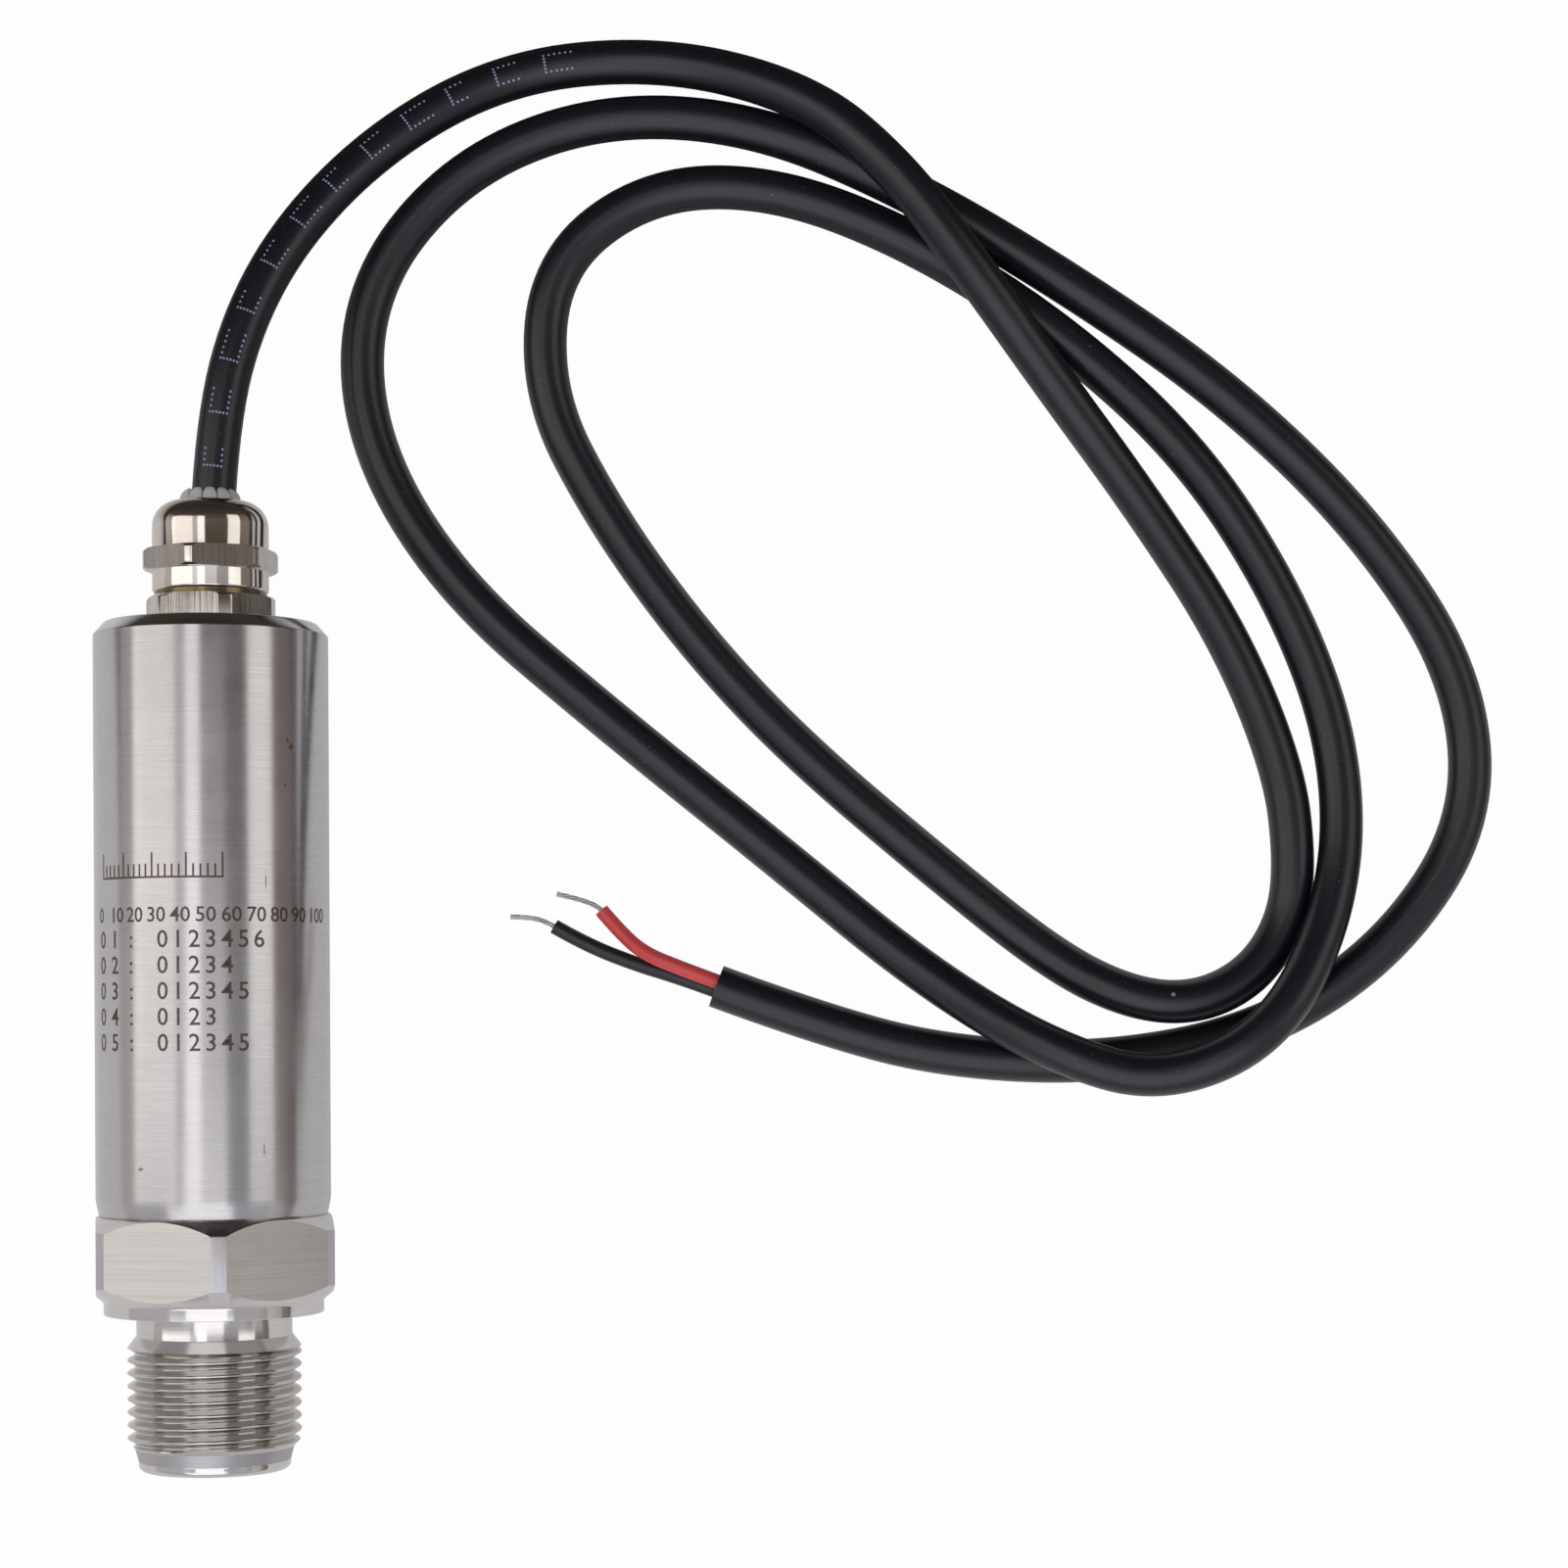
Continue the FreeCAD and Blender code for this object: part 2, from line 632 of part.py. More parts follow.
def stud(body, name, diameter, across, along, floor, height):
    """An upright cylinder on the board."""
    sketch = new_sketch(body, name + "_outline", "XY_Plane", floor)
    ring(sketch, diameter, across, along)
    feature = body.newObject("PartDesign::Pad", name)
    feature.Profile = sketch
    bind(feature, "Length", height)
    body.Tip = feature
    return feature


def amplifier_chip():
    """Chip with a row of gull-wing legs on each side."""
    body = new_body("amplifier_chip")
    side = "chip_width / 2"
    floor = "board_face + chip_stand"
    block(body, "chip_case", f"-{side}", side, "chip_place", "chip_place + chip_length",
          floor, "chip_height")
    shoulder = "board_face + chip_stand + chip_height / 2"
    outer = f"{side} + leg_overhang"
    knee = f"{outer} - leg_foot"
    row_length = "(leg_count - 1) * leg_pitch"
    first = f"chip_place + (chip_length - {row_length} - leg_width) / 2"

    def legs(sketch):
        for way in (1, -1):
            outline(sketch, [
                (f"{way} * ({across})", up)
                for across, up in (
                    (f"{side} - leg_thickness", shoulder),
                    (f"{knee} - leg_thickness", shoulder),
                    (f"{knee} - leg_thickness", "board_face"),
                    (outer, "board_face"),
                    (outer, "board_face + leg_thickness"),
                    (knee, "board_face + leg_thickness"),
                    (knee, f"{shoulder} + leg_thickness"),
                    (f"{side} - leg_thickness", f"{shoulder} + leg_thickness"),
                )
            ])

    pair = extrude(body, "chip_legs", legs, first, "leg_width")
    row = body.newObject("PartDesign::LinearPattern", "chip_leg_row")
    row.Originals = [pair]
    row.Direction = (pair.Profile[0], ["N_Axis"])
    row.Reversed = True
    bind(row, "Length", row_length)
    bind(row, "Occurrences", "leg_count")
    body.Tip = row
    return on_axis(body, "board_foot")


def trimmer(name, side):
    """Adjusting potentiometer: a square case with a slotted screw on top."""
    body = new_body(name)
    half = "trimmer_side / 2"
    across, along = f"{side} * trimmer_side_place", f"trimmer_place + {half}"
    block(body, name + "_case", f"{across} - {half}", f"{across} + {half}",
          "trimmer_place", "trimmer_place + trimmer_side", "board_face", "trimmer_height")
    top = "board_face + trimmer_height"
    stud(body, name + "_screw", "trimmer_screw", across, along, top, "trimmer_screw_height")
    reach = "trimmer_screw / 2"
    cut = block(body, name + "_slot", f"{across} - {reach}", f"{across} + {reach}",
                f"{along} - screw_slot / 2", f"{along} + screw_slot / 2",
                top, "trimmer_screw_height", "PartDesign::Pocket")
    cut.Reversed = True
    return on_axis(body, "board_foot")


def filter_capacitor():
    """Round capacitor standing on the board."""
    body = new_body("filter_capacitor")
    along = "power_place + capacitor_diameter / 2"
    stud(body, "capacitor_can", "capacitor_diameter", "-power_side_place", along,
         "board_face", "capacitor_height")
    return on_axis(body, "board_foot")


def loop_transistor():
    """Flat transistor with a cooling tab, which drives the current loop."""
    body = new_body("loop_transistor")
    half = "transistor_width / 2"
    left, right = f"power_side_place - {half}", f"power_side_place + {half}"
    back = "power_place + transistor_length"
    block(body, "transistor_case", left, right, "power_place", back,
          "board_face", "transistor_height")
    block(body, "transistor_tab", f"{left} + transistor_tab", f"{right} - transistor_tab",
          back, f"{back} + transistor_tab", "board_face", "transistor_tab_thickness")
    return on_axis(body, "board_foot")


def chip_resistors():
    """A row of chip resistors along one edge of the signal board."""
    row = []
    for i in range(int(number("resistor_count"))):
        chip = doc.addObject("Part::Box", f"chip_resistor_{i}")
        bind(chip, "Length", "resistor_width")
        bind(chip, "Width", "resistor_length")
        bind(chip, "Height", "resistor_height")
        bind(chip, "Placement.Base.x", "resistor_side")
        bind(chip, "Placement.Base.y", f"resistor_place + {i} * resistor_pitch")
        bind(chip, "Placement.Base.z", "board_face")
        row.append(chip)
    return group("chip_resistors", row, "board_foot")


TERMINAL_HEIGHT = "board_face + terminal_height / 2"


def terminal_block():
    """Two-way terminal at the cable end of the signal board."""
    body = new_body("terminal_block")
    half = "terminal_width / 2"
    block(body, "terminal_case", f"-{half}", half, "board_length - terminal_length",
          "board_length", "board_face", "terminal_height")

    def entries(sketch):
        for side in (-1, 1):
            ring(sketch, "terminal_hole", f"{side} * terminal_pitch / 2", TERMINAL_HEIGHT)

    extrude(body, "terminal_entries", entries, "board_length - terminal_depth",
            "terminal_depth", "PartDesign::Pocket")
    return on_axis(body, "board_foot")


# ---------------------------------------------------------------- cable gland


def gland_body():
    """Nickel-plated brass body: entry thread, hexagon, waist, seal seat and dome thread."""
    bore, thread = "gland_bore / 2", "dome_thread / 2"
    shoulder = "gland_flange + waist_length"
    top = f"{shoulder} + dome_thread_length"
    corners = [
        (bore, "-entry_length"),
        ("entry_radius", "-entry_length"),
        ("entry_radius", "0"),
        ("gland_corner / 2 - gland_edge", "0"),
        ("gland_corner / 2", "gland_edge"),
        ("gland_corner / 2", "gland_flange - gland_edge"),
        ("gland_corner / 2 - gland_edge", "gland_flange"),
        ("waist_diameter / 2", "gland_flange"),
        ("waist_diameter / 2", shoulder),
        (thread, shoulder),
        (thread, top),
        ("seal_seat", top),
        ("seal_seat", f"{top} - seal_length"),
        (bore, f"{top} - seal_length"),
    ]
    body = turned("gland_body", corners, "end_face", "gland_turn")
    mill_hexagon(body, "gland_flats", "gland_width", "gland_corner", "0", "gland_flange")
    return body


def gland_seal():
    """Rubber sleeve that the nut squeezes round the cable."""
    inner, outer = "cable_diameter / 2", "seal_diameter / 2"
    corners = [
        (inner, "0"),
        (f"{outer} - seal_bevel", "0"),
        (outer, "seal_bevel"),
        (outer, "seal_length - seal_bevel"),
        (f"{outer} - seal_bevel", "seal_length"),
        (inner, "seal_length"),
    ]
    return turned("gland_seal", corners, "claw_seat - seal_length", "gland_turn")


def gland_claw():
    """Nylon claw: a ring with tapering fingers that show above the nut."""
    crest = "claw_top - claw_seat"
    mouth = "nut_top - claw_seat"
    corners = [
        ("claw_bore", "0"),
        ("nut_chamber / 2 - seal_gap", "0"),
        ("nut_chamber / 2 - seal_gap", "claw_ring"),
        ("claw_root / 2", "claw_ring"),
        ("finger_radius", f"{mouth} - mouth_land"),
        ("finger_radius", mouth),
        ("claw_tip / 2", f"{crest} - finger_shoulder"),
        ("claw_bore + finger_tip", crest),
        ("claw_bore", crest),
    ]
    body = turned("gland_claw", corners, "claw_seat", "nut_turn")
    root = "claw_ring + finger_root"

    def slot(sketch):
        box_outline(sketch, "0", "claw_root / 2", "-finger_slot / 2", "finger_slot / 2")

    cut = extrude(body, "claw_slot", slot, root, f"{crest} - ({root})", "PartDesign::Pocket")
    around(body, cut, "finger_count")
    return body


def gland_nut():
    """Domed nut with a plain skirt, a low hexagon and a rounded dome."""
    skin = "nut_diameter / 2"
    mouth, chamber = "mouth_diameter / 2", "nut_chamber / 2"
    thread = "dome_thread / 2 + seal_gap"
    hex_top = "nut_skirt + nut_flange"
    top = f"{hex_top} + nut_rise"
    dome = f"{skin} - {mouth} - mouth_lip"
    shoulder = "dome_thread_length + nut_gap"
    corners = [
        (thread, "0"),
        (skin, "0"),
        (skin, "nut_skirt"),
        ("nut_corner / 2 - nut_edge", "nut_skirt"),
        ("nut_corner / 2", "nut_skirt + nut_edge"),
        ("nut_corner / 2", f"{hex_top} - nut_edge"),
        ("nut_corner / 2 - nut_edge", hex_top),
        (skin, hex_top),
        (skin, f"{top} - ({dome})"),
        (f"{mouth} + mouth_lip", top, dome),
        (mouth, top),
        (mouth, f"{top} - mouth_land"),
        (chamber, f"{top} - mouth_land - nut_cone"),
        (chamber, shoulder),
        (thread, shoulder),
    ]
    body = turned("gland_nut", corners, "nut_seat", "nut_turn")
    mill_hexagon(body, "nut_flats", "nut_width", "nut_corner", "nut_skirt", "nut_flange")
    return body


# ---------------------------------------------------------------- cable and leads


def tube(name, points, diameter):
    """A round lead along straight runs joined by tangent arcs, each as large as the shorter
    of its two runs allows."""
    share = 0.45
    spots = [Vector(*p) for p in points]
    edges, radii, here, length = [], [], spots[0], 0.0
    for before, corner, after in zip(spots, spots[1:], spots[2:]):
        back, ahead = before - corner, after - corner
        cut = share * min(back.Length, ahead.Length)
        half_turn = (math.pi - back.getAngle(ahead)) / 2
        radius = cut / math.tan(half_turn)
        start, end = corner + back.normalize() * cut, corner + ahead.normalize() * cut
        inward = (start + end) * 0.5 - corner
        reach = math.hypot(cut, radius) - radius
        crown = corner + inward.normalize() * reach
        edges.append(Part.LineSegment(here, start).toShape())
        edges.append(Part.Arc(start, crown, end).toShape())
        length += (start - here).Length + 2 * half_turn * radius
        here = end
        radii.append(radius)
    edges.append(Part.LineSegment(here, spots[-1]).toShape())
    length += (spots[-1] - here).Length
    section = Part.Circle(spots[0], spots[1] - spots[0], diameter / 2).toShape()
    path = Part.Wire(edges)
    solid = path.makePipeShell([Part.Wire([section])], True, False)
    expected = math.pi * diameter**2 / 4 * length
    print(f"{name}: {length:.1f} mm, radii", " ".join(f"{r:.1f}" for r in radii))
    if abs(solid.Volume - expected) > 0.01 * expected:
        raise ValueError(f"{name} has {solid.Volume:.1f} mm3 and should have {expected:.1f}")
    lead = doc.addObject("Part::Feature", name)
    lead.Label = name
    lead.Shape = solid
    return lead


def cable_route():
    """From the middle of the gland down to the table and round the two loose turns."""
    axis = number("axis_height")
    return [
        (0, 41.8, axis), (0, 61.8, axis), (4.7, 81.3, 12.5), (16.3, 97.7, 6.5),
        (32.9, 108.6, 3), (52.4, 110.5, 2.7),
        # over the two strands that cross below
        (69.9, 104.9, 6.3), (80.3, 95.4, 8.9), (89.3, 83.3, 9.0), (99.2, 70.3, 5.2),
        (109.6, 56.7, 2.7), (120, 40.7, 2.7), (126.5, 24.6, 2.7), (127.7, 13.4, 3.0),
        (126.7, 6.1, 2.7), (122.5, -0.1, 3.7), (115.7, -3.4, 4.6), (107.9, -2.8, 4.6),
        (98.8, 1.8, 2.7), (84.4, 13.4, 2.7), (67.5, 27.9, 2.7), (55.5, 41, 2.7),
        (45.1, 55.6, 2.7), (37.7, 70.1, 2.7), (38.8, 85.6, 2.7), (50.3, 94.5, 2.7),
        (65.3, 95, 2.7), (82.3, 88.4, 2.7), (99.7, 77.3, 2.7), (115.7, 62.7, 2.7),
        (127.1, 44.6, 2.7), (133.3, 27, 3.0),
        # along and over the last strand
        (133, 9.8, 4.7), (125, -6.6, 10), (111.3, -13, 8.9), (97.8, -9, 8.6),
        (82.8, 0.4, 3.4), (65.9, 14.5, 2.7), (46, 30.6, 2.7), (26.6, 47.2, 2.7),
        (16.2, 65.2, 2.7), (16.3, 82.7, 2.7), (27.3, 96.7, 2.7), (43.9, 103.6, 2.7),
        (62.9, 102.7, 2.7), (81.8, 94.6, 2.7), (101.3, 82.9, 2.7), (120.2, 69.7, 2.7),
        (136.6, 53.6, 2.7), (148, 36, 2.7), (149.4, 18.5, 2.7), (139.3, 3.1, 2.7),
        (123.8, -6.9, 2.7), (104.8, -10.6, 2.7), (85.3, -9.6, 2.7), (69.8, -5.3, 2.7),
        (58.3, -1, 2.7),
    ]


def step(point, way, distance):
    """The point at a distance from another along a unit vector, as plain numbers."""
    return tuple(Vector(*point) + way * distance)


def cable_and_cores():
    """The jacketed cable, the two cores that leave its cut end, and their bare tips."""
    route = cable_route()
    cable = tube("cable", route, number("cable_diameter"))
    end = Vector(*route[-1])
    ahead = (end - Vector(*route[-2])).normalize()
    side = Vector(-ahead.y, ahead.x, 0) * -1
    lean = math.radians(number("core_lean"))
    apart = (side * math.cos(lean) + Vector(0, 0, math.sin(lean))) * number("core_spacing") / 2
    red, black = end + apart, end - apart
    red_route = [red, step(red, ahead, number("red_run")),
                 (49.6, 3, 2.5), (46.7, 5.6, 1.3), (44.5, 8.2, 1.1)]
    black_route = [black, step(black, ahead, number("black_run")),
                   (48.6, 1.7, 1.1), (42.6, 4.1, 1.1), (38.8, 6.3, 1.1)]
    core, strand = number("core_diameter"), number("strand_diameter")
    pieces = [cable, tube("core_red", red_route, core), tube("core_black", black_route, core)]
    bends = {"tip_red": (red_route, (41, 9.8, 0.6), (39.1, 10.2, 0.4)),
             "tip_black": (black_route, (36.3, 7.4, 0.6), (33.5, 7.5, 0.4))}
    for name, (behind, bend, far) in bends.items():
        last = Vector(*behind[-1])
        way = (last - Vector(*behind[-2])).normalize()
        pieces.append(tube(name, [last, step(last, way, number("tip_run")), bend, far], strand))
    return pieces


def inner_lead(name, side):
    """A core inside the housing, from the cut jacket to its terminal."""
    start = cable_route()[0][1] + number("middle")
    across = side * number("core_spacing") / 2
    entry = side * number("terminal_pitch") / 2
    rise = number(TERMINAL_HEIGHT)
    top = number("board_top")
    turn_in = number("end_face - entry_length")
    route = [
        (across, start, 0),
        (across, turn_in, 0),
        (entry, top + number("core_diameter") / 2, rise),
        (entry, top - number("terminal_depth"), rise),
    ]
    lead = tube(name, route, number("core_diameter"))
    return on_axis(lead, "0")


# ---------------------------------------------------------------- the instrument

pieces = [
    process_connection(),
    housing(),
    o_ring("housing_seal_ring", "housing_bore / 2", "housing_ring_section",
           "seam + ring_lift + ring_side_gap / 2"),
    sensor_cell(),
    isolating_diaphragm(),
    o_ring("cell_seal_ring", "pocket_diameter / 2", "cell_ring_section",
           "pocket_floor + cell_length / 2 + ring_side_gap / 2"),
    cell_lock_ring(),
    header_pins(),
    compensation_board(),
    link_pins(),
    board_sleeve(),
    signal_board(),
    amplifier_chip(),
    trimmer("zero_trimmer", -1),
    trimmer("span_trimmer", 1),
    filter_capacitor(),
    loop_transistor(),
    chip_resistors(),
    terminal_block(),
    inner_lead("inner_lead_red", 1),
    inner_lead("inner_lead_black", -1),
    gland_body(),
    o_ring("gland_seal_ring", "entry_radius + gland_ring_section", "gland_ring_section",
           "end_face - gland_ring_section"),
    gland_seal(),
    gland_claw(),
    gland_nut(),
    *cable_and_cores(),
]

doc.recompute()
for item in doc.Objects:
    if "Invalid" in item.State or "Error" in item.State:
        raise ValueError(f"{item.Name} did not build: {item.State}")
for piece in pieces:
    if piece.Shape.isNull() or not piece.Shape.isValid() or not piece.Shape.Solids:
        raise ValueError(f"{piece.Label} has no sound solid")

os.makedirs("parts", exist_ok=True)
for piece in pieces:
    piece.Shape.exportStep(f"parts/{piece.Label}.step")
    print(f"{piece.Label}: {len(piece.Shape.Solids)} solid, {piece.Shape.Volume:.1f} mm3")
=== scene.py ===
# %% [markdown]
# # A pressure transmitter on a pale table
# This lesson dresses a finished construction model of a pressure transmitter: a turned steel
# body with a screw thread, a tubular housing, a small cable gland and a metre of black cable.
# The construction model is loaded first and never changed. New pieces are laid over it, in
# the same place, with the small roundings and finishes that a machinist or a plater leaves.

# %% Load the construction model
import json
import math

import bmesh
import bpy
from mathutils import Matrix, Vector


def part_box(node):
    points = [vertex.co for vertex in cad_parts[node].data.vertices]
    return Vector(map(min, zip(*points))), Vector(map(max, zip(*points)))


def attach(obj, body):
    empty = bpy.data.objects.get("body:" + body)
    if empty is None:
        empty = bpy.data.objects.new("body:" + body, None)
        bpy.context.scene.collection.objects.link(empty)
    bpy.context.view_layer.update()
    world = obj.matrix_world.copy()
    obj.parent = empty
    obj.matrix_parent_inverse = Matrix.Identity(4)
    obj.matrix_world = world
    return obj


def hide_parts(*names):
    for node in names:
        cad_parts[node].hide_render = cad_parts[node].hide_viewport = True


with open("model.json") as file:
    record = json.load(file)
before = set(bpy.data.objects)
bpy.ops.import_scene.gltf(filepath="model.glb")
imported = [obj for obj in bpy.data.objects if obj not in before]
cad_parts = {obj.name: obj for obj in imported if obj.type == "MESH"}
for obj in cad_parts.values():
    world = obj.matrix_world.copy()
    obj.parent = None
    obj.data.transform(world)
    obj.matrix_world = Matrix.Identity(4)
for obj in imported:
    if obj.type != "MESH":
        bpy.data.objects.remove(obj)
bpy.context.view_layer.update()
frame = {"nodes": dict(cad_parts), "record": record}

# %% [markdown]
# ## Millimetres and the axis
# Blender works in metres and a machinist in millimetres, so every size below is written in
# millimetres and multiplied once. The instrument lies along Y. A station is a distance along
# its axis from the end of the thread, which is how a lathe drawing is dimensioned.

# %% Stations along the axis
MM = 0.001
# in metres: points this near each other are one, and a point this near a plane lies in it
TOUCHING, HAIR = 1e-6, 1e-7
THREAD_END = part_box("process_connection")[0][1]
AXIS_HEIGHT = sum(corner[2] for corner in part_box("housing")) / 2


def along(station):
    """The Y of a station, which is given in millimetres from the thread's end face."""
    return THREAD_END + station * MM


def on_axis(x=0.0, station=0.0, z=0.0):
    """A point given across, along and above the axis, in millimetres."""
    return Vector((x * MM, along(station), AXIS_HEIGHT + z * MM))


def station_of(spot):
    """The station of a vertex or a point, in millimetres."""
    return (getattr(spot, "co", spot).y - THREAD_END) / MM


print(f"thread ends at y={THREAD_END / MM:.2f} mm, axis {AXIS_HEIGHT / MM:.2f} mm up")

# %% [markdown]
# ## Camera
# A catalogue picture is taken from straight above with a short telephoto lens. A camera with
# no rotation looks straight down, and this one is only turned by a third of a degree about its
# line of sight. The lens is shifted instead of tilted, which keeps the tube's two sides
# parallel in the picture.

# %% Camera straight above
camera_data = bpy.data.cameras.new("camera")
camera_data.lens = 77.8
camera_data.sensor_width = 36.0
camera_data.shift_y = 0.1465
camera_data.clip_start = 0.01
camera = bpy.data.objects.new("camera", camera_data)
camera.location = (0.0664, -0.00435, 0.409)
camera.rotation_euler = (0, 0, math.radians(-0.3))
bpy.context.scene.collection.objects.link(camera)
bpy.context.scene.camera = camera
bpy.context.scene.view_settings.view_transform = "Standard"
print("camera at", tuple(round(v, 4) for v in camera.location))

# %% [markdown]
# ## The cable's line
# A round cable is a line with a thickness. A NURBS spline is the right line for it, because
# it bends smoothly between a few points, as a stiff jacket does. Where the cable crosses over
# itself the points rise in a long low hump. The order is set after the points are there:
# earlier it would be lowered to two, which is straight runs.

# %% A lead along a NURBS spline
CABLE_ROUTE = [
    (0, 41.8, 14.956), (0, 61.8, 14.956), (4.7, 81.3, 12.5), (16.3, 97.7, 6.5),
    (32.9, 108.6, 3), (52.4, 110.5, 2.7), (69.9, 104.9, 6.3), (80.3, 95.4, 8.9),
    (89.3, 83.3, 9.0), (99.2, 70.3, 5.2), (109.6, 56.7, 2.7), (120, 40.7, 2.7),
    (126.5, 24.6, 2.7), (127.7, 13.4, 3.0), (126.7, 6.1, 2.7), (122.5, -0.1, 3.7),
    (115.7, -3.4, 4.6), (107.9, -2.8, 4.6), (98.8, 1.8, 2.7), (84.4, 13.4, 2.7),
    (67.5, 27.9, 2.7), (55.5, 41, 2.7), (45.1, 55.6, 2.7), (37.7, 70.1, 2.7),
    (38.8, 85.6, 2.7), (50.3, 94.5, 2.7), (65.3, 95, 2.7), (82.3, 88.4, 2.7),
    (99.7, 77.3, 2.7), (115.7, 62.7, 2.7), (127.1, 44.6, 2.7), (133.3, 27, 3.0),
    (133, 9.8, 4.7), (125, -6.6, 10), (111.3, -13, 8.9), (97.8, -9, 8.6),
    (82.8, 0.4, 3.4), (65.9, 14.5, 2.7), (46, 30.6, 2.7), (26.6, 47.2, 2.7),
    (16.2, 65.2, 2.7), (16.3, 82.7, 2.7), (27.3, 96.7, 2.7), (43.9, 103.6, 2.7),
    (62.9, 102.7, 2.7), (81.8, 94.6, 2.7), (101.3, 82.9, 2.7), (120.2, 69.7, 2.7),
    (136.6, 53.6, 2.7), (148, 36, 2.7), (149.4, 18.5, 2.7), (139.3, 3.1, 2.7),
    (123.8, -6.9, 2.7), (104.8, -10.6, 2.7), (85.3, -9.6, 2.7), (69.8, -5.3, 2.7),
    (58.3, -1, 2.7),
]
CABLE_DIAMETER = 5.2


def link(data, name):
    """Put new data in the scene as an object at the origin."""
    thing = bpy.data.objects.new(name, data)
    bpy.context.scene.collection.objects.link(thing)
    return thing


def lead(name, route, diameter):
    """A round lead of a diameter along the points of a route, both in millimetres."""
    curve = bpy.data.curves.new(name, "CURVE")
    curve.dimensions = "3D"
    spline = curve.splines.new("NURBS")
    spline.points.add(len(route) - 1)
    for point, spot in zip(spline.points, route):
        point.co = (*[value * MM for value in spot], 1)
        point.radius = diameter / 2 * MM
    spline.order_u = 3
    spline.use_endpoint_u = True
    spline.resolution_u = 12
    # a point's radius, which scales the bevel, also sets the box that the lead takes up
    curve.bevel_depth = 1 if diameter else 0
    curve.bevel_resolution = 6
    curve.use_fill_caps = diameter > 0
    return link(curve, name)


cable = lead("cable_lead", CABLE_ROUTE, CABLE_DIAMETER)
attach(cable, "root")
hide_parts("cable")
print("cable points:", len(CABLE_ROUTE))

# %% [markdown]
# ## The two cores
# At the cut end the jacket is stripped and two insulated cores come out, red over black. Each
# follows a short spline of its own, straight out of the jacket and then down to the table.

# %% Red and black cores
jacket_end = Vector(CABLE_ROUTE[-1])
ahead = (jacket_end - Vector(CABLE_ROUTE[-2])).normalized()
beside = Vector((ahead.y, -ahead.x, 0))
CORE_DIAMETER = 1.8
CORE_SPACING = 1.88
RED_RUN, BLACK_RUN = 4.9, 4.5
lean = math.radians(56)
half_spacing = CORE_SPACING / 2 * (beside * math.cos(lean) + Vector((0, 0, math.sin(lean))))
red_start = jacket_end + half_spacing
black_start = jacket_end - half_spacing
RED_ROUTE = [tuple(red_start), tuple(red_start + ahead * RED_RUN),
             (49.6, 3, 2.5), (46.7, 5.6, 1.3), (44.5, 8.2, 1.1)]
BLACK_ROUTE = [tuple(black_start), tuple(black_start + ahead * BLACK_RUN),
               (48.6, 1.7, 1.1), (42.6, 4.1, 1.1), (38.8, 6.3, 1.1)]
core_red = lead("core_red_lead", RED_ROUTE, CORE_DIAMETER)
core_black = lead("core_black_lead", BLACK_ROUTE, CORE_DIAMETER)
for piece, node, colour in ((core_red, "core_red", "insulation_red"),
                            (core_black, "core_black", "insulation_black")):
    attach(piece, "root")
    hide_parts(node)
print("cores start", [round(v, 1) for v in red_start], [round(v, 1) for v in black_start])

# %% [markdown]
# ## Tinned strands
# The bare ends are fine copper wires, tinned and twisted into one strand. Seven round wires
# are laid round the tip's own line: one in the middle and six that wind round it. The line is
# read from a NURBS spline without thickness, and each wire is a curve turned into a mesh.

# %% Twisted wires along a tip
WIRE_DIAMETER = 0.2
LAY_LENGTH = 7.0
TIP_RUN = 0.8
# share by which the wires open at the far end
SPREAD = 0.1


def line_of(route):
    """The points of a route's smooth line, in metres."""
    guide = lead("guide", route, 0)
    mesh = bpy.data.meshes.new_from_object(guide)
    points = [vertex.co.copy() for vertex in mesh.vertices]
    bpy.data.objects.remove(guide)
    bpy.data.meshes.remove(mesh)
    return points


def across_line(points, i):
    """Two directions square to the line at one of its points, level and upright."""
    way = points[min(i + 1, len(points) - 1)] - points[max(i - 1, 0)]
    level = way.cross(Vector((0, 0, 1))).normalized()
    return level, level.cross(way).normalized()


def wires(name, route):
    """Seven twisted wires along a route, which open a little at the far end."""
    points = line_of(route)
    curve = bpy.data.curves.new(name, "CURVE")
    curve.dimensions = "3D"
    curve.bevel_depth = WIRE_DIAMETER / 2 * MM
    curve.bevel_resolution = 2
    curve.use_fill_caps = True
    walked = [0.0]
    for a, b in zip(points, points[1:]):
        walked.append(walked[-1] + (b - a).length)
    for wire in range(7):
        spline = curve.splines.new("POLY")
        spline.points.add(len(points) - 1)
        for i, point in enumerate(points):
            level, upright = across_line(points, i)
            open_end = 1 + SPREAD * (walked[i] / walked[-1]) ** 4
            reach = (WIRE_DIAMETER if wire else 0) * MM * open_end
            turn = math.radians(60 * wire) + 2 * math.pi * walked[i] / (LAY_LENGTH * MM)
            spot = point + reach * (math.cos(turn) * level + math.sin(turn) * upright)
            spline.points[i].co = (*spot, 1)
    shape = link(curve, name + "_curve")
    mesh = bpy.data.meshes.new_from_object(shape)
    bpy.data.objects.remove(shape)
    mesh.name = name
    return link(mesh, name)


def tip_route(core, bend, far):
    """A tip goes straight on out of its core, then over a bend to its far end."""
    last = Vector(core[-1])
    way = (last - Vector(core[-2])).normalized()
    return [tuple(last), tuple(last + way * TIP_RUN), bend, far]


wires_red = wires("wires_red", tip_route(RED_ROUTE, (41, 9.8, 0.6), (39.1, 10.2, 0.4)))
wires_black = wires("wires_black", tip_route(BLACK_ROUTE, (36.3, 7.4, 0.6), (33.5, 7.5, 0.4)))
for piece, node in ((wires_red, "tip_red"), (wires_black, "tip_black")):
    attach(piece, "root")
    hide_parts(node)
print("wires:", len(wires_red.data.polygons), "faces each")

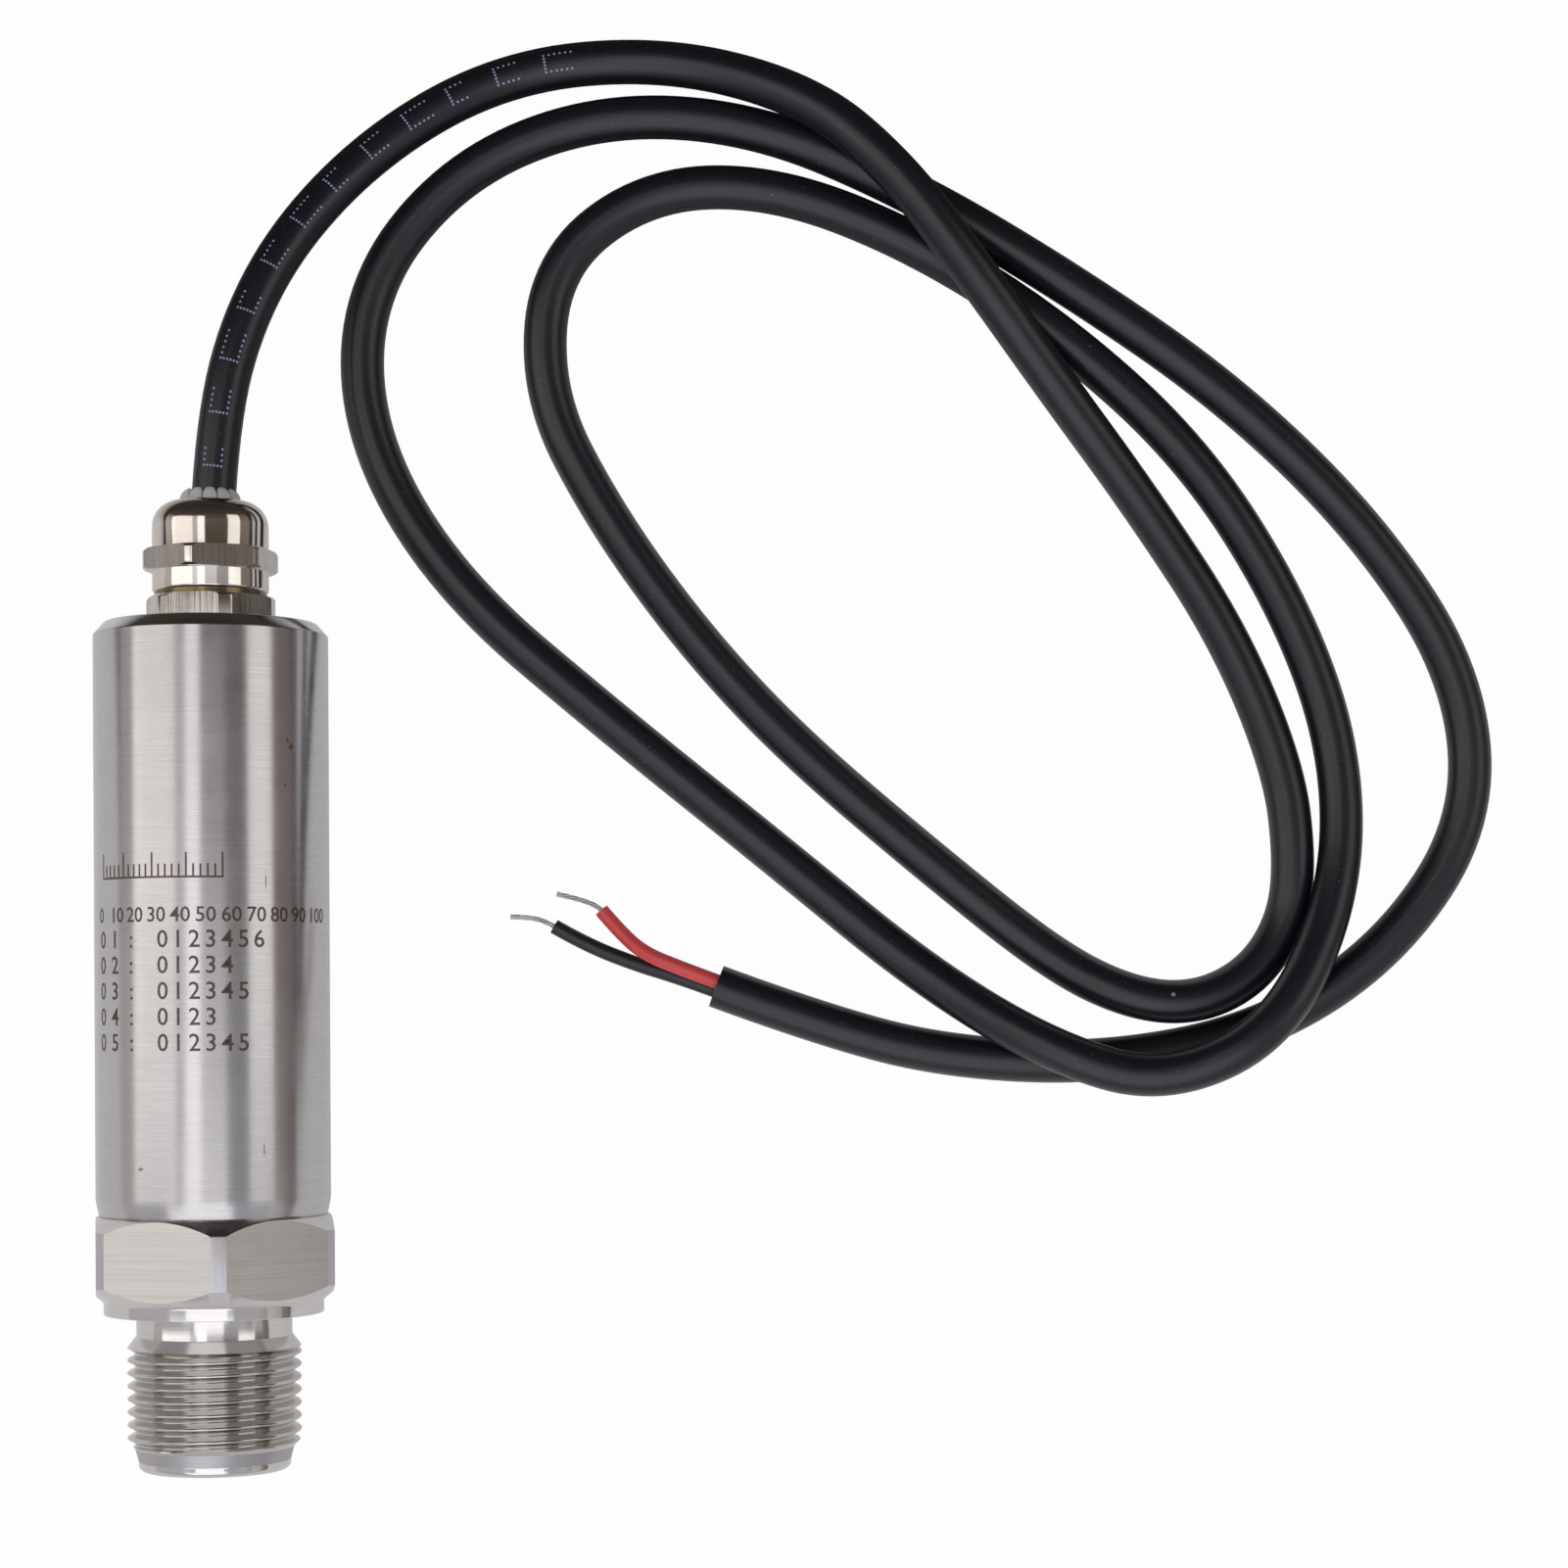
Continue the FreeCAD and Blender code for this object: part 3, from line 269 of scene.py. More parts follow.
# %% [markdown]
# The cable leaves the gland at the tips of the claw.

# %% [markdown]
# ## Turned pieces
# A lathe makes every round form by one half outline that goes round an axis. The same is done
# here: the outline is a ring of vertices given as station, radius and the size of the rounded
# edge a tool leaves there. The corners are rounded first, while the outline is still flat,
# and then it is spun. This gives even faces and closed walls, which cylinders joined by
# Boolean cuts don't.

# %% Spin a half outline
STEPS = 192
# the material slots of the metal pieces, named for how a face was made
TURNED, MILLED, THREADED, DRAWN, COARSE = range(5)
# a milled face above this area is a flat, and below it the rounding of an edge
FLAT_AREA = 4 * MM ** 2


def draw_outline(bm, corners, closed=True):
    """Edges through corners of (station, radius, rounding), in millimetres."""
    dots = [bm.verts.new((0, along(corner[0]), corner[1] * MM)) for corner in corners]
    for a, b in zip(dots, dots[1:] + dots[:1] if closed else dots[1:]):
        bm.edges.new((a, b))
    # a wide rounding, such as the nut's dome, gets more segments than an edge
    for rounding in sorted({corner[2] for corner in corners if len(corner) > 2}):
        chosen = [dot for dot, corner in zip(dots, corners) if corner[2:] == (rounding,)]
        bmesh.ops.bevel(bm, geom=chosen, offset=rounding * MM, affect="VERTICES",
                        segments=3 if rounding < 1 else 12, profile=0.5, material=-1)


def spin_round(bm, advance=0.0, steps=STEPS):
    """Spin everything in the mesh once round the axis, which lies at height zero for now."""
    bmesh.ops.spin(bm, geom=bm.verts[:] + bm.edges[:], axis=(0, 1, 0), cent=(0, 0, 0),
                   dvec=(0, advance * MM / steps, 0), angle=math.tau, steps=steps,
                   use_merge=advance == 0)
    bmesh.ops.remove_doubles(bm, verts=bm.verts[:], dist=TOUCHING)


def give_slot(bm, slot, low, high, reach):
    """Give a slot to the turned faces between two stations and beyond a radius."""
    for face in bm.faces:
        middle = face.calc_center_median()
        if (face.material_index == TURNED and low < station_of(middle) < high
                and math.hypot(middle.x, middle.z) / MM > reach):
            face.material_index = slot


def finish_mesh(bm, name, sharp=35):
    """Lift the mesh to the axis, turn its faces outwards and make it an object.

    Round faces are shaded smooth, and a milled flat, which is the one large face, isn't.
    """
    bmesh.ops.recalc_face_normals(bm, faces=bm.faces[:])
    bmesh.ops.translate(bm, verts=bm.verts[:], vec=(0, 0, AXIS_HEIGHT))
    mesh = bpy.data.meshes.new(name)
    bm.to_mesh(mesh)
    bm.free()
    for face in mesh.polygons:
        face.use_smooth = True
    mesh.set_sharp_from_angle(angle=math.radians(sharp))
    for face in mesh.polygons:
        if face.material_index == MILLED and face.area > FLAT_AREA:
            face.use_smooth = False
    print(f"{name}: {len(mesh.polygons)} faces")
    return link(mesh, name)


# %% [markdown]
# ## Milled flats
# Wrench flats are milled on a round bar: six planes at the same distance from the axis. A
# bisect that clears what lies outside and a fill of the cut do the same to the mesh, so the
# round chamfers and the narrow strips of bar left at the corners come out by themselves. The
# edges of each flat then get the small break that a deburring wheel leaves.

# %% Mill a hexagon
def mill_flats(bm, across_flats, corner_turn, low, high, edge_break):
    """Cut six flats between two stations; the first corner leans by an angle in degrees."""
    turns = [math.radians(corner_turn + 30 + 60 * i) for i in range(6)]
    directions = [Vector((math.sin(turn), 0, math.cos(turn))) for turn in turns]
    for outward in directions:
        near = [v for v in bm.verts if along(low) - TOUCHING < v.co.y < along(high) + TOUCHING]
        near_edges = {e for v in near for e in v.link_edges}
        near_faces = {f for v in near for f in v.link_faces}
        cut = bmesh.ops.bisect_plane(
            bm, geom=near + list(near_edges) + list(near_faces), dist=HAIR,
            plane_co=outward * across_flats / 2 * MM, plane_no=outward, clear_outer=True)
        rim = [e for e in cut["geom_cut"] if isinstance(e, bmesh.types.BMEdge)]
        filled = bmesh.ops.edgeloop_fill(bm, edges=rim)
        for face in filled["faces"]:
            face.material_index = MILLED
            bmesh.ops.bevel(bm, geom=face.edges[:], offset=edge_break * MM, affect="EDGES",
                            segments=2, profile=0.5, material=-1, clamp_overlap=True)
    bmesh.ops.remove_doubles(bm, verts=bm.verts[:], dist=0.01 * MM)
    # merging moves a corner by a hair, which a mirror would show, so put it back in its plane
    for face in bm.faces:
        if face.material_index == MILLED and face.calc_area() > FLAT_AREA:
            outward = max(directions, key=face.calc_center_median().dot)
            for vertex in face.verts:
                vertex.co -= outward * (outward.dot(vertex.co) - across_flats / 2 * MM)


# %% [markdown]
# ## The process connection
# This is the machinist's showpiece: a pilot, an M20 thread of 1.5 mm pitch, an undercut, a
# sealing collar, a cone and a hexagon, all from one bar. The thread is a true helix. Its
# profile, a few pitches long, is spun once round while it moves on by one pitch, so that its
# end meets its own start one thread further. Near the neck the tool was drawn out slowly, so
# the groove gets shallower and ends in a smooth chamfer.

# %% Helical thread
PITCH = 1.5
THREAD_PHASE = -0.33
THREAD_START, THREAD_STOP = 2.6, 14.25
CREST, PILOT_TOP = 10.0, 9.15
WAY_OUT_SLOPE = 1.6
# the thread ends this far from the body on both sides, and a bridge closes the gap later
BRIDGE_GAP = 0.02
# share of the pitch, radius
THREAD_PROFILE = [(0.0, CREST), (0.05, 9.985), (0.1, 9.935), (0.15, 9.84), (0.23, 9.63),
                  (0.31, 9.42), (0.38, 9.235), (0.44, 9.13), (0.5, 9.1), (0.56, 9.13),
                  (0.62, 9.235), (0.69, 9.42), (0.77, 9.63), (0.85, 9.84), (0.9, 9.935),
                  (0.95, 9.985)]


def trimmed(station, radius):
    """A radius of the thread between its lead-in chamfer and the tool's slow way out."""
    lead_in = PILOT_TOP + max(station - THREAD_START, 0)
    way_out = CREST - WAY_OUT_SLOPE * max(THREAD_STOP - station, 0)
    return min(max(radius, way_out), lead_in)


connection = bmesh.new()
# a few turns too many at both ends, which are cut off below
first_turn = int(THREAD_START / PITCH) - 2
last_turn = int(THREAD_STOP / PITCH) + 3
draw_outline(connection, [((turn + share) * PITCH + THREAD_PHASE, radius)
                          for turn in range(first_turn, last_turn)
                          for share, radius in THREAD_PROFILE], closed=False)
spin_round(connection, advance=PITCH)
for vertex in connection.verts:
    radius = math.hypot(vertex.co.x, vertex.co.z) / MM
    change = trimmed(station_of(vertex), radius) / radius
    vertex.co.x *= change
    vertex.co.z *= change
for station, side in ((THREAD_START + BRIDGE_GAP, -1), (THREAD_STOP - BRIDGE_GAP, 1)):
    bmesh.ops.bisect_plane(connection, geom=connection.verts[:] + connection.edges[:]
                           + connection.faces[:], dist=HAIR, plane_co=(0, along(station), 0),
                           plane_no=(0, side, 0), clear_outer=True)
for face in connection.faces:
    face.material_index = THREADED
print("thread faces:", len(connection.faces))

# %% [markdown]
# ## The body round the thread
# Everything but the thread is plain turning, so one half outline describes it, from the pilot's
# rim down into the bore, out over the spigot that carries the housing, and back over the
# hexagon and the collar to the thread's neck. The six flats are milled after the turning.
# Faces are then sorted by how they were made, because each way leaves its own finish.

# %% Body of the process connection
SEAM = 29.5
CORNER_START, CORNER_END = 21.6, 27.9
WRENCH_SIZE, WRENCH_TURN = 27.0, 11.3
body = bmesh.new()
draw_outline(body, [
    (THREAD_START, PILOT_TOP), (1.1, 8.75, 0.1), (0.45, 8.75, 0.2), (0, 8.3, 0.12),
    (0, 3.6, 0.08), (0.6, 3, 0.08), (24.8, 3), (24.8, 9.6), (36.5, 9.6), (36.5, 11.95, 0.2),
    (33.2, 11.95), (33.2, 10.6), (31.5, 10.6), (31.5, 11.95), (SEAM, 11.95),
    (SEAM, 13.4, 0.06), (CORNER_END, 15.1, 0.12), (CORNER_START, 15.1, 0.12),
    (19.6, 12.65, 0.2), (18.15, 12.65, 0.12), (18.15, 8.95, 0.15), (15.58, 8.95, 0.04),
    (15.5, 9.06, 0.03), (THREAD_STOP, CREST - 0.01),
], closed=False)
spin_round(body)
mill_flats(body, WRENCH_SIZE, WRENCH_TURN, 19.7, SEAM, 0.12)
# between the flats the bar keeps its own skin, and the pilot's cone is one quick cut
give_slot(body, DRAWN, CORNER_START, CORNER_END, 14.9)
give_slot(body, COARSE, 1.15, THREAD_START, 8.5)
body_mesh = bpy.data.meshes.new("body_of_connection")
body.to_mesh(body_mesh)
body.free()
print("body faces:", len(body_mesh.polygons))

# %% [markdown]
# ## Thread and body in one
# On the real piece both are one bar. The two meshes end in rims of as many edges a hair apart,
# so a bridge between the rims makes one closed skin, which a Boolean union wouldn't do as
# evenly.

# %% Join thread and body
connection.from_mesh(body_mesh)
bpy.data.meshes.remove(body_mesh)
for station in (THREAD_START, THREAD_STOP):
    rims = [e for e in connection.edges if e.is_boundary
            and all(abs(v.co.y - along(station)) < 0.1 * MM for v in e.verts)]
    joined = bmesh.ops.bridge_loops(connection, edges=rims)
    print(f"bridge at {station}: {len(rims)} edges, {len(joined['faces'])} faces")
print("open edges left:", sum(e.is_boundary for e in connection.edges))
process_connection = finish_mesh(connection, "threaded_body", 28)
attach(process_connection, "root")
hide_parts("process_connection")

# %% [markdown]
# ## The housing
# A drawn cup, turned outside. Towards the seam the tool was drawn in a little, so the wall's
# radius shrinks by four tenths of a millimetre, and round the end face it left a chamfer. Both
# tilt the mirror of the wall and so they show as bright and dark rings. They are drawn with
# more care than the plain wall between them.

# %% Housing tube
END_FACE = SEAM + 68.6
HOUSING_RADIUS = 13.5
housing_mesh = bmesh.new()
draw_outline(housing_mesh, [
    (SEAM, 12), (SEAM, 13.12, 0.06), (SEAM + 1.9, 13.5, 0.5),
    (END_FACE - 1.4, 13.5, 0.12), (END_FACE, 12.25, 0.12), (END_FACE, 6.75, 0.1),
    (END_FACE - 0.8, 6.75), (END_FACE - 0.8, 6), (END_FACE - 3, 6), (END_FACE - 3, 12),
])
spin_round(housing_mesh)
# the chamfer is a finishing cut, so it takes the housing's second, brighter material
give_slot(housing_mesh, MILLED, END_FACE - 1.35, END_FACE + 1, 12.3)
housing = finish_mesh(housing_mesh, "housing_tube")
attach(housing, "root")
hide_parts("housing")

# %% [markdown]
# ## Laser marks
# A laser marks the wall with a plain ruled scale and numbered rows for its wires. The beam
# doesn't cut: it heats the steel until its skin turns dark. Each mark is a text or a thin box,
# laid flat first. The flat field is then cut into narrow strips, because a wide face would
# stay flat, and rolled round the axis, where it lies on the wall as a hair-thin skin.

# %% A flat field of marks
MARK_SKIN = 0.012
LINE_WIDTH = 0.22
SCALE_LEFT, SCALE_UP, TICK_GAP = -13.1, 11.3, 0.82
NUMBER_SIZE, DIGIT_SIZE = 2.4, 2.8
ROW_GAP, DIGIT_GAP = 2.92, 1.85
field = bmesh.new()


def text_mark(words, across, up, height):
    """Add words to the field; across and up give their lower left corner in millimetres."""
    letters = bpy.data.curves.new("letters", "FONT")
    letters.body = words
    letters.size = height * MM
    letters.extrude = MARK_SKIN / 2 * MM
    letters.offset = 0.02 * MM
    letters.resolution_u = 3
    shape = link(letters, "letters")
    mesh = bpy.data.meshes.new_from_object(shape)
    bpy.data.objects.remove(shape)
    mesh.transform(Matrix.Translation((across * MM, up * MM, 0)))
    field.from_mesh(mesh)
    bpy.data.meshes.remove(mesh)


def stroke(across, up, width, height):
    """Add a thin box to the field, given by its lower left corner and its size."""
    place = Matrix.Translation(((across + width / 2) * MM, (up + height / 2) * MM, 0))
    bmesh.ops.create_cube(field, size=1, matrix=place @ Matrix.Diagonal(
        (width * MM, height * MM, MARK_SKIN * MM, 1)))


stroke(SCALE_LEFT, SCALE_UP, 16.6, LINE_WIDTH)
for tick in range(21):
    stroke(SCALE_LEFT + TICK_GAP * tick, SCALE_UP, LINE_WIDTH, 2.9 if tick % 5 == 0 else 1.6)
for number in range(11):
    text_mark(str(10 * number), -14.2 + 2.9 * number, 6.4, NUMBER_SIZE)
# five numbered rows, each with as many digits as given here
for row, count in enumerate((7, 5, 6, 4, 6)):
    up = 3.5 - ROW_GAP * row
    for letter, across in (("0", -13.9), (str(row + 1), -11.2), (":", -8.0)):
        text_mark(letter, across, up, DIGIT_SIZE)
    for place in range(count):
        text_mark(str(place), -4.2 + DIGIT_GAP * place, up, DIGIT_SIZE)
print("flat field:", len(field.faces), "faces")

# %% Roll the field onto the wall
STRIP_WIDTH = 0.4
for cut in range(-40, 56):
    bmesh.ops.bisect_plane(field, geom=field.verts[:] + field.edges[:] + field.faces[:],
                           dist=HAIR, plane_co=(cut * STRIP_WIDTH * MM, 0, 0),
                           plane_no=(1, 0, 0))
for vertex in field.verts:
    turn = vertex.co.x / (HOUSING_RADIUS * MM)
    reach = (HOUSING_RADIUS + MARK_SKIN / 2) * MM + vertex.co.z
    vertex.co.x, vertex.co.z = reach * math.sin(turn), reach * math.cos(turn)
laser_marks = finish_mesh(field, "laser_marks")
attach(laser_marks, "root")

# %% [markdown]
# ## The cable gland
# A gland is two plated brass parts and a nylon claw. The body screws into the housing. The
# domed nut screws onto the body and presses the claw's fingers onto the cable. Both metal
# parts are bar stock with turned chamfers and milled flats.

# %% Gland body and nut
NUT_SEAT = END_FACE + 3.65
CLAW_SEAT = NUT_SEAT + 5.4
NUT_TOP = NUT_SEAT + 10.6
gland_mesh = bmesh.new()
draw_outline(gland_mesh, [
    (END_FACE - 6, 3.3), (END_FACE - 6, 5.95, 0.2), (END_FACE, 5.95), (END_FACE, 7.25, 0.05),
    (END_FACE + 0.3, 7.55, 0.12), (END_FACE + 2.75, 7.55, 0.12), (END_FACE + 3.05, 7.25, 0.08),
    (END_FACE + 3.05, 6.45), (NUT_SEAT, 6.45), (NUT_SEAT, 5.5), (CLAW_SEAT, 5.5, 0.1),
    (CLAW_SEAT, 4.25), (CLAW_SEAT - 4.6, 4.25), (CLAW_SEAT - 4.6, 3.3),
])
spin_round(gland_mesh)
mill_flats(gland_mesh, 13.8, 22.0, END_FACE, END_FACE + 3.05, 0.08)
# the groove under the nut, whose dark finish is its painted shade
give_slot(gland_mesh, COARSE, END_FACE + 3.1, NUT_SEAT, 6)
gland_body = finish_mesh(gland_mesh, "gland_base")
nut_mesh = bmesh.new()
draw_outline(nut_mesh, [
    (NUT_SEAT, 5.55), (NUT_SEAT, 6.55, 0.1), (NUT_SEAT + 0.25, 6.7, 0.1),
    (NUT_SEAT + 2.4, 6.7, 0.08), (NUT_SEAT + 2.4, 7.5, 0.06), (NUT_SEAT + 2.7, 7.85, 0.12),
    (NUT_SEAT + 4.6, 7.85, 0.12), (NUT_SEAT + 4.9, 7.5, 0.06), (NUT_SEAT + 4.9, 6.7, 0.08),
    (NUT_TOP, 6.7, 2.95), (NUT_TOP, 3.6, 0.12), (NUT_TOP - 0.5, 3.6, 0.1),
    (NUT_TOP - 2.3, 5.3), (CLAW_SEAT + 0.1, 5.3), (CLAW_SEAT + 0.1, 5.55),
])
spin_round(nut_mesh)
mill_flats(nut_mesh, 14.0, -9.1, NUT_SEAT + 2.35, NUT_SEAT + 4.95, 0.08)
gland_nut = finish_mesh(nut_mesh, "domed_nut")
for piece, node in ((gland_body, "gland_body"), (gland_nut, "gland_nut")):
    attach(piece, "root")
    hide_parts(node)

# %% [markdown]
# ## The claw
# Twelve nylon fingers lean onto the cable. One finger is spun through a twelfth of a turn less
# the slot. Its tip is then pulled back towards both sides along a circle, which makes it as
# round as a fingernail, and its rim gets a small rounding. The finger is copied round the
# axis. A solid ring below, hidden in the nut, carries the fingers.

# %% One finger
FINGERS = 12
# the slot's width is measured at this radius, halfway up a finger's tip
SLOT_WIDTH, SLOT_RADIUS = 0.14, 3.2
CLAW_TURN = 8.5
CLAW_TOP = NUT_TOP + 1.4
claw_mesh = bmesh.new()
draw_outline(claw_mesh, [
    (CLAW_TOP - 4.7, 2.75), (CLAW_TOP - 4.7, 4.7), (NUT_TOP - 0.5, 3.55), (NUT_TOP, 3.55, 0.2),
    (NUT_TOP + 0.75, 3.42, 0.3), (CLAW_TOP - 0.15, 3.02, 0.2), (CLAW_TOP - 0.02, 2.78)])
finger_face = bmesh.ops.contextual_create(claw_mesh, geom=claw_mesh.edges[:])["faces"]
half_finger = math.pi / FINGERS - math.asin(SLOT_WIDTH / 2 / SLOT_RADIUS)
bmesh.ops.rotate(claw_mesh, verts=claw_mesh.verts[:], cent=(0, 0, 0),
                 matrix=Matrix.Rotation(-half_finger, 3, "Y"))
bmesh.ops.spin(claw_mesh, geom=finger_face, axis=(0, 1, 0), cent=(0, 0, 0),
               angle=2 * half_finger, steps=16)
bmesh.ops.remove_doubles(claw_mesh, verts=claw_mesh.verts[:], dist=HAIR)
# the outer edges of a finger's two sides, above the nut
side_rims = [e for e in claw_mesh.edges
             if e.calc_face_angle(0) > 1.0 and all(station_of(v) > NUT_TOP - 1 for v in e.verts)
             and all(abs(math.atan2(v.co.x, v.co.z)) > half_finger - 1e-4 for v in e.verts)
             and max(math.hypot(v.co.x, v.co.z) for v in e.verts) > 2.9 * MM]
print("finger:", len(claw_mesh.faces), "faces,", len(side_rims), "rim edges")

# %% Round its tip and copy it
bmesh.ops.bevel(claw_mesh, geom=side_rims, offset=0.08 * MM, affect="EDGES", segments=2,
                profile=0.5, material=-1, clamp_overlap=True)
NAIL_START, NAIL_LENGTH = NUT_TOP + 0.2, 0.6
for vertex in claw_mesh.verts:
    aside = min(abs(math.atan2(vertex.co.x, vertex.co.z)) / half_finger, 1)
    share = max(station_of(vertex) - NAIL_START, 0) / (CLAW_TOP - NAIL_START)
    vertex.co.y -= share * NAIL_LENGTH * (1 - math.sqrt(1 - 0.98 * aside ** 3)) * MM
one_finger = claw_mesh.verts[:] + claw_mesh.edges[:] + claw_mesh.faces[:]
for i in range(1, FINGERS):
    copy = bmesh.ops.duplicate(claw_mesh, geom=one_finger)
    copied = [v for v in copy["geom"] if isinstance(v, bmesh.types.BMVert)]
    bmesh.ops.rotate(claw_mesh, verts=copied, cent=(0, 0, 0),
                     matrix=Matrix.Rotation(math.tau * i / FINGERS, 3, "Y"))
bmesh.ops.rotate(claw_mesh, verts=claw_mesh.verts[:], cent=(0, 0, 0),
                 matrix=Matrix.Rotation(math.radians(CLAW_TURN), 3, "Y"))
ring_mesh = bmesh.new()
draw_outline(ring_mesh, [
    (CLAW_SEAT, 2.75), (CLAW_SEAT, 5.25), (CLAW_SEAT + 1.1, 5.25, 0.1), (CLAW_SEAT + 1.1, 4.7),
    (CLAW_TOP - 4.7, 4.7), (CLAW_TOP - 4.7, 2.75)])
spin_round(ring_mesh, steps=72)
claw_ring = bpy.data.meshes.new("claw_ring")
ring_mesh.to_mesh(claw_ring)
ring_mesh.free()
claw_mesh.from_mesh(claw_ring)
bpy.data.meshes.remove(claw_ring)
claw = finish_mesh(claw_mesh, "claw_fingers", 40)
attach(claw, "root")
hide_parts("gland_claw")

# %% [markdown]
# ## Printed dots
# An ink jet prints a measure on the moving cable as rows of dots. Each dot is a tiny ball
# pressed flat, and its place is given by how far it lies along the cable and by an angle round
# it. The points of the cable's own smooth line and their directions say where that is.

# %% Dots along the cable
DOT_RADIUS = 0.15
cable_line = line_of(CABLE_ROUTE)
walked_cable = [0.0]
for a, b in zip(cable_line, cable_line[1:]):
    walked_cable.append(walked_cable[-1] + (b - a).length)
dots_mesh = bmesh.new()


def print_dot(distance, round_angle):
    """A dot at a distance along the cable in millimetres and an angle from its top."""
    i = min(j for j, walked in enumerate(walked_cable) if walked > distance * MM)
    back = (walked_cable[i] - distance * MM) / (walked_cable[i] - walked_cable[i - 1])
    level, upright = across_line(cable_line, i)
    turn = math.radians(round_angle)
    outward = math.sin(turn) * level + math.cos(turn) * upright
    spot = cable_line[i].lerp(cable_line[i - 1], back) + outward * CABLE_DIAMETER / 2 * MM
    facing = outward.to_track_quat("Z", "Y").to_matrix().to_4x4()
    bmesh.ops.create_uvsphere(dots_mesh, u_segments=8, v_segments=4, radius=DOT_RADIUS * MM,
                              matrix=Matrix.Translation(spot) @ facing
                              @ Matrix.Diagonal((1, 1, 0.15, 1)))


MEASURE_START, MARK_GAP, DOT_GAP = 17.5, 6.2, 0.66
# degrees from the cable's top to the first dot of a mark, and between two dots
FIRST_TURN, DOT_TURN, DOTS = -22, 9, 6
for mark in range(12):
    here = MEASURE_START + MARK_GAP * mark
    for dot in range(DOTS):
        print_dot(here, FIRST_TURN + DOT_TURN * dot)
    # two rows along the cable, of three, four or five dots
    for dot in range(1, 4 + mark % 3):
        print_dot(here + DOT_GAP * dot, FIRST_TURN)
        print_dot(here + DOT_GAP * dot, FIRST_TURN + DOT_TURN * (DOTS - 1))
bmesh.ops.recalc_face_normals(dots_mesh, faces=dots_mesh.faces[:])
dots_data = bpy.data.meshes.new("printed_dots")
dots_mesh.to_mesh(dots_data)
dots_mesh.free()
printed_dots = link(dots_data, "printed_dots")
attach(printed_dots, "root")
print("printed dots:", len(dots_data.polygons), "faces")

# %% [markdown]
# ## Colours and nodes
# Colours are written as the hex values a colour picker shows, which are sRGB. The renderer
# works with linear light, so one function converts them. Materials are node trees, and one
# function adds a node: it sets the node's own choices, and fills or links its sockets. A
# pattern's coordinates are scaled by sizes in millimetres, so its grain is as large as it is
# on the real piece.

# %% Helpers for materials
MIX_COLOURS = {"data_type": "RGBA"}


def linear(hex_colour):
    """An sRGB hex colour as linear red, green, blue and alpha."""
    shares = [int(hex_colour[i:i + 2], 16) / 255 for i in (1, 3, 5)]
    return (*[s / 12.92 if s <= 0.04045 else ((s + 0.055) / 1.055) ** 2.4 for s in shares], 1)


def per_mm(*sizes):
    """The scale at which a pattern repeats after sizes in millimetres."""
    return [1 / (size * MM) for size in sizes]


def add_node(tree, kind, settings=None, inputs=()):
    """Add a node. Inputs are named or in order, and each is a value or what it is linked to."""
    new = tree.nodes.new("ShaderNode" + kind)
    for name, value in (settings or {}).items():
        setattr(new, name, value)
    for name, value in inputs.items() if isinstance(inputs, dict) else enumerate(inputs):
        if isinstance(value, bpy.types.Node):
            value = value.outputs[0]
        if isinstance(value, bpy.types.NodeSocket):
            tree.links.new(value, new.inputs[name])
        else:
            new.inputs[name].default_value = value
    return new


def new_material(name):
    """A material with an empty node tree."""
    material = bpy.data.materials.new(name)
    material.use_nodes = True
    material.node_tree.nodes.clear()
    return material


print("a mid grey in linear light:", [round(share, 3) for share in linear("#808080")])

# %% [markdown]
# ## Machined metal
# A tool leaves fine grooves in the metal, side by side. They blur a reflection across
# themselves and leave it crisp along themselves, which is what makes turned steel look turned.
# The shader's own anisotropy gives that blur, with the tangent laid across the grooves. The
# grooves that the eye can still see are a stretched noise, in the colour and as bump. Handling
# adds clouds of roughness and short scratches.

# %% A machined metal
SCRATCH_SIZE = (1.5, 0.14, 1.5)
# pale scratches lean one way and dark ones the other, in degrees
SCRATCHES = {35: "#e9e6e2", -62: "#7c7773"}


